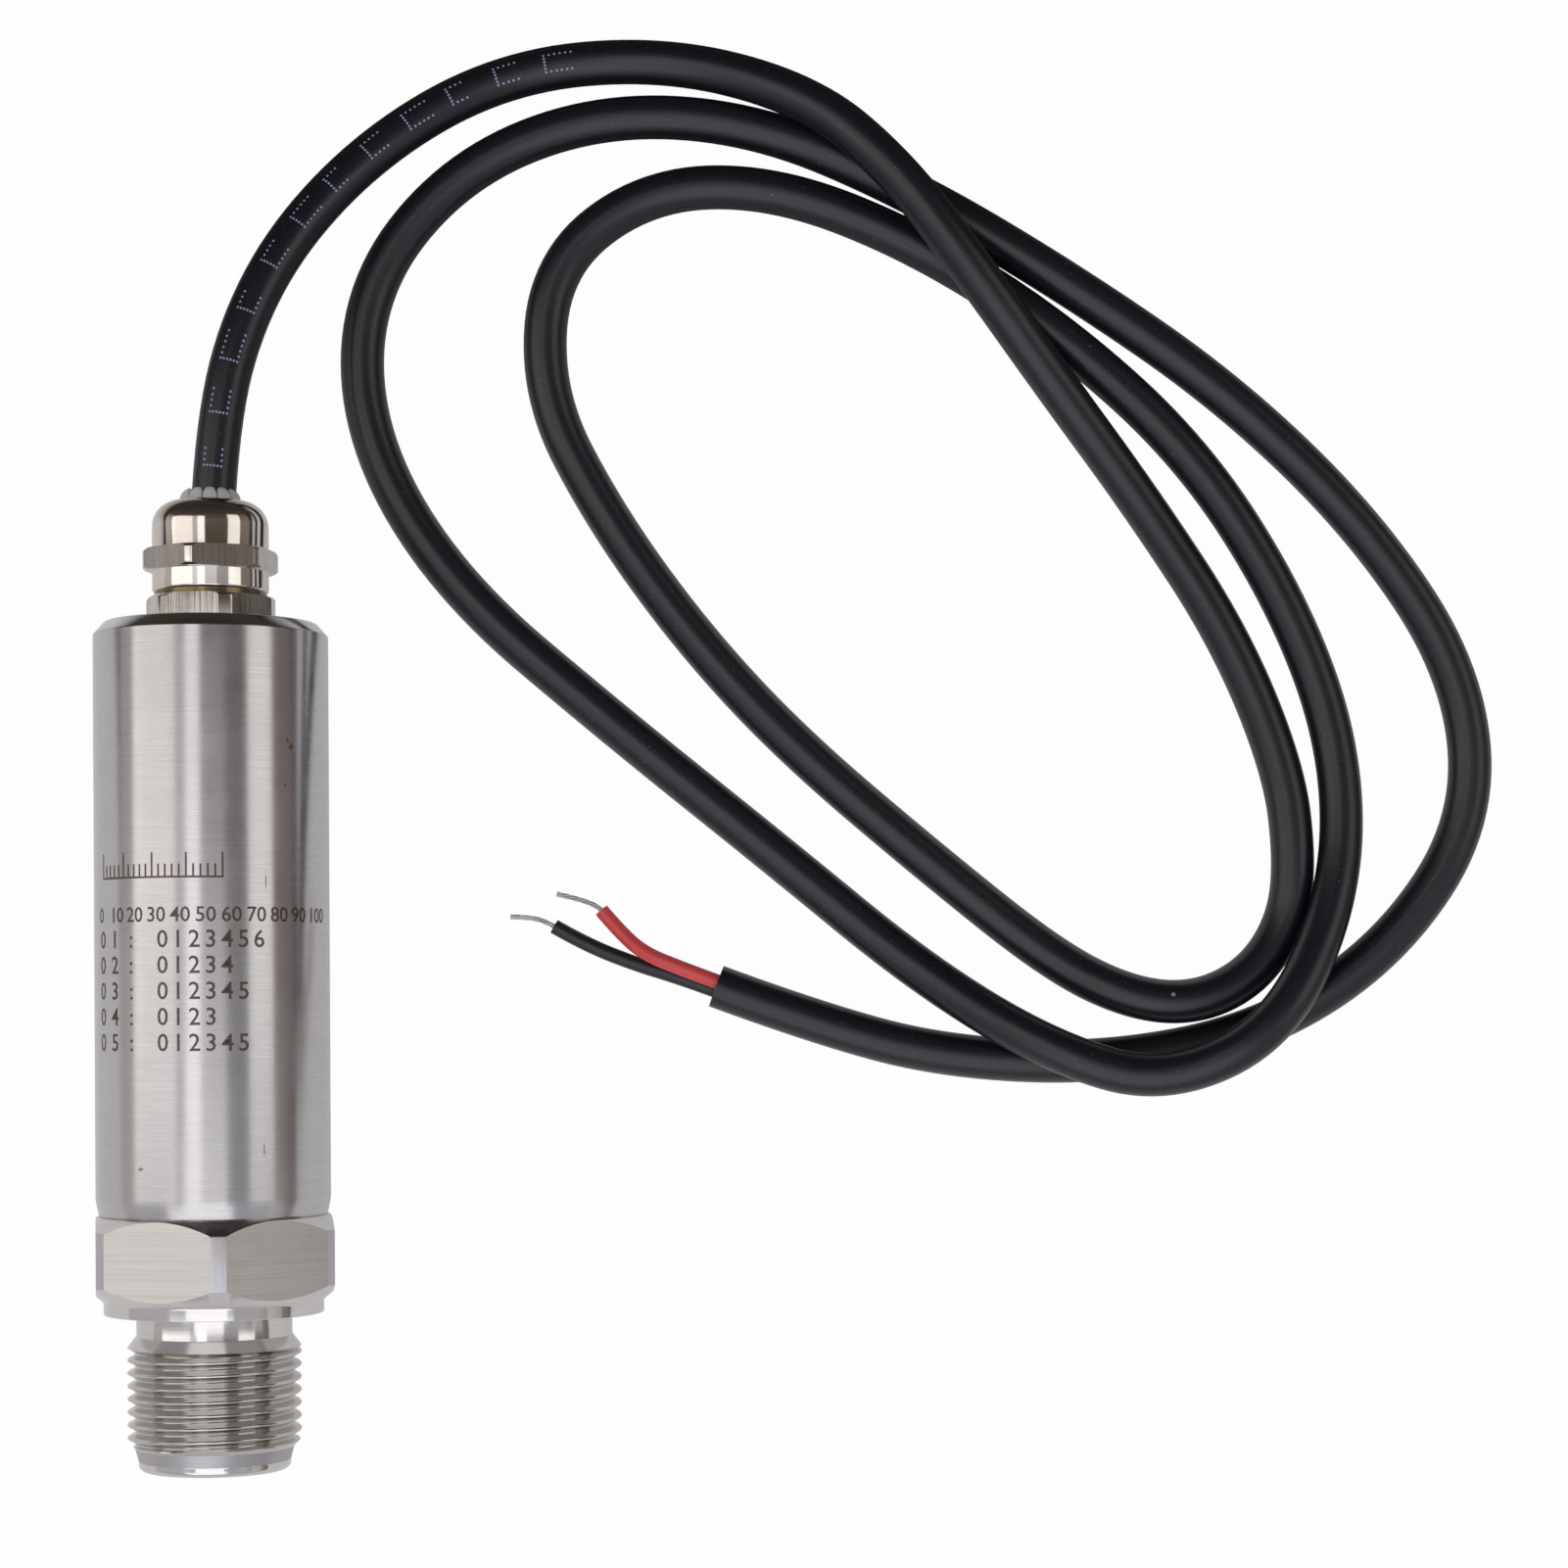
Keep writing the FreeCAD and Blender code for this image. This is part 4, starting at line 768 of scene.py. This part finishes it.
def machined(name, tint, roughness, mark, blur=0.8, lay="round", depth=0.0005, scratches=0.2,
             reach=10.0):
    """Metal with tool marks of a width and reach in millimetres, round the axis or along it."""
    material = new_material(name)
    tree = material.node_tree
    place = add_node(tree, "TexCoord").outputs["Object"]
    centred = add_node(tree, "Mapping", inputs={
        "Vector": place, "Location": (0, 0, -AXIS_HEIGHT)})
    grooves = (reach, mark, reach) if lay == "round" else (mark, reach, mark)
    # size in millimetres, turn in degrees and detail of each noise
    wanted = [(grooves, 0, 2.0), ((6, 6, 6), 0, 5.0)]
    wanted += [(SCRATCH_SIZE, turn, 0.0) for turn in SCRATCHES]
    noises = []
    for size, turn, detail in wanted:
        scaled = add_node(tree, "Mapping", inputs={
            "Vector": centred, "Rotation": (0, 0, math.radians(turn)), "Scale": per_mm(*size)})
        noises.append(add_node(tree, "TexNoise", inputs={
            "Vector": scaled, "Scale": 1.0, "Detail": detail, "Roughness": 0.6}))
    lines, clouds, *nicks = noises
    # a Map Range takes the value, its range from and to, and the new range from and to
    both = add_node(tree, "Math", {"operation": "ADD"}, [
        add_node(tree, "MapRange", inputs=[lines, 0.3, 0.7, 0, 0.6]),
        add_node(tree, "MapRange", inputs=[clouds, 0.3, 0.7, 0, 0.4])])
    shade = add_node(tree, "Mix", MIX_COLOURS, {
        "Factor": both, "A": linear(tint[0]), "B": linear(tint[1])}).outputs["Result"]
    for nick, colour in zip(nicks, SCRATCHES.values()):
        share = add_node(tree, "MapRange", inputs=[nick, 0.8, 0.86, 0, scratches])
        shade = add_node(tree, "Mix", MIX_COLOURS, {
            "Factor": share, "A": shade, "B": linear(colour)}).outputs["Result"]
    rough = add_node(tree, "MapRange", inputs=[
        clouds, 0.3, 0.7, roughness * 0.88, roughness * 1.12])
    bump = add_node(tree, "Bump", inputs={
        "Height": lines, "Strength": 1.0, "Distance": depth * MM})
    across = add_node(tree, "CombineXYZ", inputs=(
        [0.02, 1.0, 0.02] if lay == "round" else [1.0, 0.02, 0.02]))
    shader = add_node(tree, "BsdfPrincipled", inputs={
        "Base Color": shade, "Metallic": 1.0, "Roughness": rough, "Normal": bump,
        "Anisotropic": blur, "Tangent": across})
    add_node(tree, "OutputMaterial", inputs=[shader])
    return material


# %% Stainless steel, grade 316
# satin: fine-turned and rubbed with abrasive cloth, so bands of light have soft ends
satin_steel = machined("stainless_316_satin", ("#bbb9ba", "#cac8c8"), 0.27, 0.15, depth=0.0002,
                       scratches=0.25, reach=5.0)
# bright: a finishing cut with a sharp tool, almost a mirror
bright_steel = machined("stainless_316_bright_turned", ("#cfccca", "#dad8d6"), 0.15, 0.2,
                        depth=0.0003)
# milled: a face cutter leaves broad regular lines across the flat
milled_steel = machined("stainless_316_milled", ("#c3c1bd", "#dfddd9"), 0.34, 0.24, depth=0.0008,
                        reach=25.0)
# thread: cut in several passes, smooth along the helix, a little torn at the crests
thread_steel = machined("stainless_316_thread", ("#b9b5b1", "#cfccc8"), 0.17, 0.15)
# drawn: the bar's own skin from the drawing die, dull and a little paler
drawn_steel = machined("stainless_316_drawn_bar", ("#bcbabe", "#c9c7cb"), 0.42, 0.5,
                       blur=0.5, lay="along")
# coarse: one quick cut, matt to the eye
coarse_steel = machined("stainless_316_coarse_cone", ("#b4b2b6", "#c2c0c4"), 0.5, 0.25, blur=0.6)
for finish in (bright_steel, milled_steel, thread_steel, drawn_steel, coarse_steel):
    process_connection.data.materials.append(finish)
print("steels:", [finish.name for finish in process_connection.data.materials])

# %% [markdown]
# ## Stains on the housing
# Damp air leaves small brown spots where iron dust from a workshop lies on stainless steel.
# Each spot is the space within a short distance of a point of the wall, and a scratch is a
# spot that is drawn out along the axis. A little noise in the distance makes the edge ragged.

# %% Spots on the satin steel
# across, station, half width and half length in millimetres, and colour
SPOTS = [(10.15, 83.9, 0.4, 0.4, "#9c6b4c"), (10.5, 83.2, 0.4, 0.45, "#6b4633"),
         (9.9, 78.8, 0.25, 0.25, "#7a5038"), (-6.2, 35.35, 0.35, 0.3, "#4d4844"),
         (2.9, 29.8, 0.3, 0.25, "#8a5a3c"), (3.6, 30.2, 0.2, 0.2, "#8a5a3c"),
         (7.9, 67.8, 0.13, 1.3, "#4d4a48"), (7.6, 37.4, 0.12, 0.9, "#4d4a48")]
tree = satin_steel.node_tree
shader = next(n for n in tree.nodes if n.type == "BSDF_PRINCIPLED")
place = add_node(tree, "TexCoord").outputs["Object"]
scaled = add_node(tree, "Mapping", inputs={"Vector": place, "Scale": per_mm(0.3, 0.3, 0.3)})
noise = add_node(tree, "TexNoise", inputs={
    "Vector": scaled, "Scale": 1.0, "Detail": 2.0, "Roughness": 0.6})
ragged = add_node(tree, "MapRange", inputs=[noise, 0.3, 0.7, -0.4, 0.4])
shade = shader.inputs["Base Color"].links[0].from_socket
for across, station, half_width, half_length, colour in SPOTS:
    middle = on_axis(across, station, math.sqrt(HOUSING_RADIUS ** 2 - across ** 2))
    scale = per_mm(half_width, half_length, half_width)
    near = add_node(tree, "Mapping", inputs={
        "Vector": place, "Scale": scale, "Location": [-m * s for m, s in zip(middle, scale)]})
    gap = add_node(tree, "VectorMath", {"operation": "LENGTH"}, [near]).outputs["Value"]
    gap = add_node(tree, "Math", {"operation": "ADD"}, [gap, ragged])
    share = add_node(tree, "MapRange", inputs=[gap, 0.4, 1, 0.7, 0])
    shade = add_node(tree, "Mix", MIX_COLOURS, {
        "Factor": share, "A": shade, "B": linear(colour)}).outputs["Result"]
tree.links.new(shade, shader.inputs["Base Color"])
for finish in (satin_steel, bright_steel):
    housing.data.materials.append(finish)
print("spots:", len(SPOTS))

# %% [markdown]
# ## Laser-darkened steel
# The beam's heat grows a dark oxide skin on the steel. It is still metal, but matt and
# brownish, and the machining shows through, so it is a machined metal of a darker tint.

# %% The skin of the laser marks
# to the eye: soft dark brown lines that never gleam as the wall round them does
laser_skin = machined("stainless_316_laser_darkened", ("#574c45", "#6b6058"), 0.45, 0.3,
                      blur=0.3)
laser_marks.data.materials.append(laser_skin)
print("marks:", laser_skin.name)

# %% [markdown]
# ## Nickel-plated brass
# The gland's two metal parts are turned from brass and plated with bright nickel, which copies
# every line of the metal under it. One machined metal serves for all of it. What changes from
# place to place is the width and depth of the lines, and how much of the brass shows.

# %% Finishes of the gland
# bright nickel over turned brass: a warm mirror
nickel = machined("nickel_plated_brass_bright", ("#d2ccc4", "#dcd7d0"), 0.1, 0.16, blur=0.5,
                  depth=0.0003)
# the flats keep the lines of a broach along the axis under the plating
milled_nickel = machined("nickel_plated_brass_broached", ("#9b948c", "#e0dad3"), 0.12, 0.1,
                         blur=0.3, lay="along")
# the body's flats were scraped by a spanner, so there the lines are deep and dark
scraped_nickel = machined("nickel_plated_brass_scraped", ("#57524d", "#f0ece7"), 0.12, 0.11,
                          blur=0.3, lay="along")
# in the narrow groove under the nut the metal has a dark brownish tint: the groove's shade,
# painted into its colour
groove_shade_nickel = machined("nickel_plated_brass_groove_painted_shade", ("#6f6448", "#85785a"), 0.3, 0.2)
for part, flats in ((gland_body, scraped_nickel), (gland_nut, milled_nickel)):
    for finish in (nickel, flats, nickel, nickel, groove_shade_nickel):
        part.data.materials.append(finish)
print("platings:", nickel.name, milled_nickel.name, scraped_nickel.name, groove_shade_nickel.name)

# %% [markdown]
# ## Plastics
# The cable's jacket is soft PVC, pushed hot through a die. It is almost black, has a faint
# grain and shows a broad dull highlight, and light dust lies on it. The claw is moulded nylon
# and the cores are PVC in clear colours. All of them are one plastic with a speckled colour,
# the same speckle as bump, and some dust.

# %% A plastic
DUST_SIZE = 0.35


def plastic(name, tint, roughness, size, depth, dust=0.0):
    """A plastic with a grain of a size and depth in millimetres and a share of light dust."""
    material = new_material(name)
    tree = material.node_tree
    place = add_node(tree, "TexCoord").outputs["Object"]
    noises = []
    for width, detail in ((size, 4.0), (DUST_SIZE, 1.0)):
        scaled = add_node(tree, "Mapping", inputs={
            "Vector": place, "Scale": per_mm(width, width, width)})
        noises.append(add_node(tree, "TexNoise", inputs={
            "Vector": scaled, "Scale": 1.0, "Detail": detail, "Roughness": 0.6}))
    speckle, motes = noises
    shade = add_node(tree, "Mix", MIX_COLOURS, {
        "Factor": speckle, "A": linear(tint[0]), "B": linear(tint[1])}).outputs["Result"]
    share = add_node(tree, "MapRange", inputs=[motes, 0.74, 0.8, 0, dust])
    shade = add_node(tree, "Mix", MIX_COLOURS, {
        "Factor": share, "A": shade, "B": linear("#8f9196")}).outputs["Result"]
    bump = add_node(tree, "Bump", inputs={
        "Height": speckle, "Strength": 1.0, "Distance": depth * MM})
    shader = add_node(tree, "BsdfPrincipled", inputs={
        "Base Color": shade, "Roughness": roughness, "Normal": bump})
    add_node(tree, "OutputMaterial", inputs=[shader])
    return material


# the jacket: nearly black with a cool tinge, a dull sheen along its top and pale motes
jacket_black = plastic("pvc_jacket_black_extruded", ("#101017", "#191922"), 0.33, 0.6, 0.012,
                       dust=0.35)
# the claw: pale grey and half matt, with a soft gleam on each finger
nylon = plastic("nylon_6_grey_moulded", ("#c6c6c5", "#d4d4d3"), 0.42, 0.4, 0.006)
# the cores: smoother than the jacket, one a clear warm red and one a neutral black
red_pvc = plastic("pvc_insulation_red_extruded", ("#d0454a", "#d54a4e"), 0.4, 0.8, 0.004)
black_pvc = plastic("pvc_insulation_black_extruded", ("#17171b", "#202126"), 0.4, 0.8, 0.006)
# the ink: pale blue-grey and matt, so a dot stays light where the jacket gleams
print_ink = plastic("print_ink_grey_blue", ("#7d90b4", "#93a4c4"), 0.6, 0.2, 0.002)
for part, finish in ((cable, jacket_black), (claw, nylon), (core_red, red_pvc),
                     (core_black, black_pvc), (printed_dots, print_ink)):
    part.data.materials.append(finish)
print("plastics:", jacket_black.name, nylon.name, red_pvc.name)

# %% [markdown]
# ## A fleck of paint
# A drop of green paint has dried on the jacket, where the inner loop turns back. It is made as
# the housing's spots are, by the distance from a point, but only across and along the table,
# so that it lies on the cable's top whatever its height is there.

# %% Green fleck on the jacket
FLECK_X, FLECK_Y = 112.6, -2.3
FLECK_HALVES = (0.3, 0.25)
tree = jacket_black.node_tree
shader = next(n for n in tree.nodes if n.type == "BSDF_PRINCIPLED")
from_above = add_node(tree, "Mapping", inputs={
    "Vector": add_node(tree, "TexCoord").outputs["Object"],
    "Scale": (*per_mm(*FLECK_HALVES), 0),
    "Location": (-FLECK_X / FLECK_HALVES[0], -FLECK_Y / FLECK_HALVES[1], 0)})
gap = add_node(tree, "VectorMath", {"operation": "LENGTH"}, [from_above]).outputs["Value"]
fleck = add_node(tree, "MapRange", inputs=[gap, 0.7, 1, 0.9, 0])
shade = add_node(tree, "Mix", MIX_COLOURS, {
    "Factor": fleck, "A": shader.inputs["Base Color"].links[0].from_socket,
    "B": linear("#6fa39c")}).outputs["Result"]
tree.links.new(shade, shader.inputs["Base Color"])
print("fleck at", FLECK_X, FLECK_Y, "mm")

# %% [markdown]
# ## Inside the housing
# Nothing in there shows from outside, but whoever takes the housing off should find each piece
# in its own stuff: green boards, black and blue cases, a white sleeve, gold pins and rubber
# rings. The construction model's own pieces stay, and each slot's name chooses its finish.

# %% Materials inside the housing
# moulded nitrile is black and quite matt, and epoxy cases are a shade paler and smoother
rubber = plastic("nitrile_rubber_moulded", ("#121213", "#1b1b1c"), 0.6, 0.3, 0.01)
epoxy = plastic("epoxy_case_moulded_black", ("#1a1a1b", "#242425"), 0.5, 0.2, 0.01)
# solder resist over glass epoxy: deep green with a lacquer's gloss
board = plastic("glass_epoxy_board_green", ("#1f5a34", "#276a3e"), 0.35, 0.6, 0.01)
# moulded cases in clear colours with a soft sheen, and a sleeve of off-white film
blue_case = plastic("polyester_case_moulded_blue", ("#1d4f9a", "#2358a8"), 0.4, 0.3, 0.01)
green_case = plastic("polyamide_case_moulded_green", ("#2c7a43", "#34884d"), 0.4, 0.3, 0.01)
sleeve_case = plastic("polyester_sleeve_white", ("#cfcdc6", "#d9d7d0"), 0.45, 0.5, 0.01)
# fired ceramic is tan and chalky, a drawn can is pale and clean, a gold pin gleams warmly
ceramic = plastic("ceramic_fired_tan", ("#a98e62", "#b79b6e"), 0.5, 0.2, 0.01)
can = machined("aluminium_can_drawn", ("#c8c9cc", "#d0d1d4"), 0.25, 0.3)
gold = machined("gold_plated_pin", ("#d8b063", "#e0b96c"), 0.2, 0.3)
# tinned copper wire: dull silver, with the wires' own shadows between them
tin = machined("copper_wire_tinned", ("#a5a39f", "#d6d5d2"), 0.3, 0.3, blur=0.0)
for part in (wires_red, wires_black):
    part.data.materials.append(tin)
print("inside:", [finish.name for finish in (rubber, epoxy, board, ceramic, can, gold)])

# %% Finishes of the construction model's own pieces
SLOT_FINISH = {
    "stainless_turned": bright_steel, "stainless_satin": satin_steel,
    "nickel_plated_brass": nickel, "claw_nylon": nylon, "seal_rubber": rubber,
    "cable_jacket": jacket_black, "insulation_red": red_pvc, "insulation_black": black_pvc,
    "tinned_copper": tin, "circuit_board": board, "black_epoxy": epoxy,
    "trimmer_blue": blue_case, "terminal_green": green_case, "sleeve_plastic": sleeve_case,
    "capacitor_ceramic": ceramic, "capacitor_can": can, "gold_pin": gold,
}
for subpart in frame["record"]["subparts"]:
    for holder in frame["nodes"][subpart["node"]].material_slots:
        holder.material = SLOT_FINISH[subpart["material_slot"]]

# %% [markdown]
# ## Table
# The table is a pale sheet that ends a hand's breadth to the right of the cable. To the eye it
# is white: for camera, glossy and transmitted rays the sheet also gives off light, mixed so
# that the soft shadow under the piece stays. For glossy rays it turns dark beyond the gland
# and beyond the cable. This is a painted shade that only reflections see, so that the faces
# which lean that way show a painted dark reflection.

# %% A pale sheet
# the sheet's half width and the shift of its middle to the left, in metres
SHEET, SHEET_SHIFT = 1.5, -1.2
# the share of the sheet's own light that each kind of ray sees
OWN_LIGHT = {"Is Camera Ray": 0.975, "Is Glossy Ray": 0.25, "Is Transmission Ray": 0.97}
table_mesh = bmesh.new()
bmesh.ops.create_grid(table_mesh, x_segments=1, y_segments=1, size=SHEET,
                      matrix=Matrix.Translation((SHEET_SHIFT, 0, 0)))
table_data = bpy.data.meshes.new("table")
table_mesh.to_mesh(table_data)
table_mesh.free()
table = link(table_data, "table")
table_finish = new_material("white_laminate_matt")
tree = table_finish.node_tree
path = add_node(tree, "LightPath")
camera_share, glossy_share, clear_share = [
    add_node(tree, "Math", {"operation": "MULTIPLY"}, [path.outputs[ray], amount])
    for ray, amount in OWN_LIGHT.items()]
share = add_node(tree, "Math", {"operation": "ADD"}, [camera_share, glossy_share])
share = add_node(tree, "Math", {"operation": "ADD"}, [share, clear_share])
matt = add_node(tree, "BsdfDiffuse", inputs={"Color": linear("#e8e8e8")})
white = add_node(tree, "Emission", inputs={"Color": (1, 1, 1, 1), "Strength": 1.0})
both = add_node(tree, "MixShader", inputs=[share, matt, white])
parts = add_node(tree, "SeparateXYZ", inputs=[add_node(tree, "TexCoord").outputs["Object"]])
# the painted shade for reflections begins beyond the gland's end and beyond the cable, in metres
# along Y and X
far = add_node(tree, "Math", {"operation": "MAXIMUM"}, [
    add_node(tree, "MapRange", inputs=[parts.outputs["Y"], 0.06, 0.1]),
    add_node(tree, "MapRange", inputs=[parts.outputs["X"], 0.15, 0.22])])
far = add_node(tree, "Math", {"operation": "MULTIPLY"}, [path.outputs["Is Glossy Ray"], far])
# a dark brown that only glossy rays see: painted shade in the reflections
painted_reflected_shade = add_node(tree, "Emission", inputs={"Color": (0.05, 0.04, 0.033, 1)})
both = add_node(tree, "MixShader", inputs=[far, both, painted_reflected_shade])
add_node(tree, "OutputMaterial", inputs=[both])
table.data.materials.append(table_finish)
print("table:", 2 * SHEET, "m wide")

# %% [markdown]
# ## World
# Polished metal shows whatever stands round it, so the room matters as much as the lamps. It
# is lighter towards the thread and dark and warm beyond the cable, where the back of the
# studio is. The colours are a ramp along Y, and the two sides have a colour of their own.

# %% The room round the bench
# how far a direction points beyond the cable, from 0 to 1, and the room's colour there
ROOM = [(0.0, (0.52, 0.52, 0.55)), (0.38, (0.5, 0.5, 0.53)), (0.5, (0.4, 0.4, 0.41)),
        (0.6, (0.13, 0.1, 0.08)), (0.8, (0.06, 0.05, 0.045)), (1.0, (0.03, 0.028, 0.027))]
# where each side's wall begins and is complete along X, and its colour
WALLS = [(0.8, 0.97, (0.25, 0.21, 0.19, 1)), (-0.85, -0.97, (0.55, 0.53, 0.52, 1))]
world = bpy.data.worlds.new("studio")
bpy.context.scene.world = world
world.use_nodes = True
tree = world.node_tree
tree.nodes.clear()
direction = add_node(tree, "TexCoord").outputs["Generated"]
parts = add_node(tree, "SeparateXYZ", inputs=[direction])
beyond = add_node(tree, "MapRange", inputs=[parts.outputs["Y"], -1, 1])
ramp = add_node(tree, "ValToRGB", inputs=[beyond])
for i, (position, colour) in enumerate(ROOM):
    stop = ramp.color_ramp.elements[i] if i < 2 else ramp.color_ramp.elements.new(position)
    stop.position = position
    stop.color = (*colour, 1)
sides = ramp.outputs[0]
for begins, complete, colour in WALLS:
    wall = add_node(tree, "MapRange", inputs=[parts.outputs["X"], begins, complete])
    sides = add_node(tree, "Mix", MIX_COLOURS, {
        "Factor": wall, "A": sides, "B": colour}).outputs["Result"]
room = add_node(tree, "Background", inputs={"Color": sides})
backdrop = add_node(tree, "Background", inputs={"Color": (1, 1, 1, 1), "Strength": 1.0})
path = add_node(tree, "LightPath")
either = add_node(tree, "MixShader", inputs=[path.outputs["Is Camera Ray"], room, backdrop])
add_node(tree, "OutputWorld", inputs=[either])
print("room:", len(ROOM), "colours along the bench and", len(WALLS), "walls")

# %% [markdown]
# ## Soft boxes
# Soft boxes hang over the bench, each as a long strip beside the instrument's axis: a broad
# one on the left, a narrow one overhead with a dim one at each side, and one on the right. Out
# beyond the thread hang two wide ones and a dim one at the right. In the polished wall they
# stand as the bright bands of its shape.

# %% Hang the lamps
# name, degrees from straight up to the right, half width in degrees, distance, first and last
# place along the bench in metres, radiance and colour
SOFT_BOXES = [
    ("left", -49, 23, 0.9, (-0.12, 0.45), 1.2, (1, 0.965, 0.93)),
    ("between", -21, 5, 0.95, (-0.1, 0.45), 0.5, (1, 0.98, 0.97)),
    ("overhead", -9, 7, 0.95, (-0.1, 0.45), 1.38, (1, 0.985, 1)),
    ("ceiling", 9.5, 11.5, 0.95, (-0.1, 0.16), 0.38, (1, 0.97, 1)),
    ("front", 1.2, 21.5, 0.95, (-0.4, -0.1), 1.0, (0.98, 0.97, 1)),
    ("front_far", -5, 34, 0.95, (-1.9, -0.4), 1.0, (0.98, 0.97, 1)),
    ("right", 56.8, 12.8, 0.9, (-0.1, 0.6), 1.08, (1, 1, 0.98)),
    ("right_front", 75, 9, 0.9, (-0.6, -0.1), 0.26, (0.98, 0.99, 1)),
]
for name, lean, half_width, distance, (first, last), radiance, colour in SOFT_BOXES:
    light = bpy.data.lights.new("soft_box_" + name, "AREA")
    light.shape = "RECTANGLE"
    light.size = 2 * distance * math.tan(math.radians(half_width))
    light.size_y = last - first
    light.energy = radiance * math.pi * light.size * light.size_y
    light.color = colour
    lamp = link(light, "soft_box_" + name)
    lean = math.radians(lean)
    lamp.location = (distance * math.sin(lean), (first + last) / 2, distance * math.cos(lean))
    lamp.rotation_euler = (0, lean, 0)
    lamp.visible_camera = False
    print(f"{lamp.name}: {light.size:.2f} by {light.size_y:.2f} m, {light.energy:.2f} W")
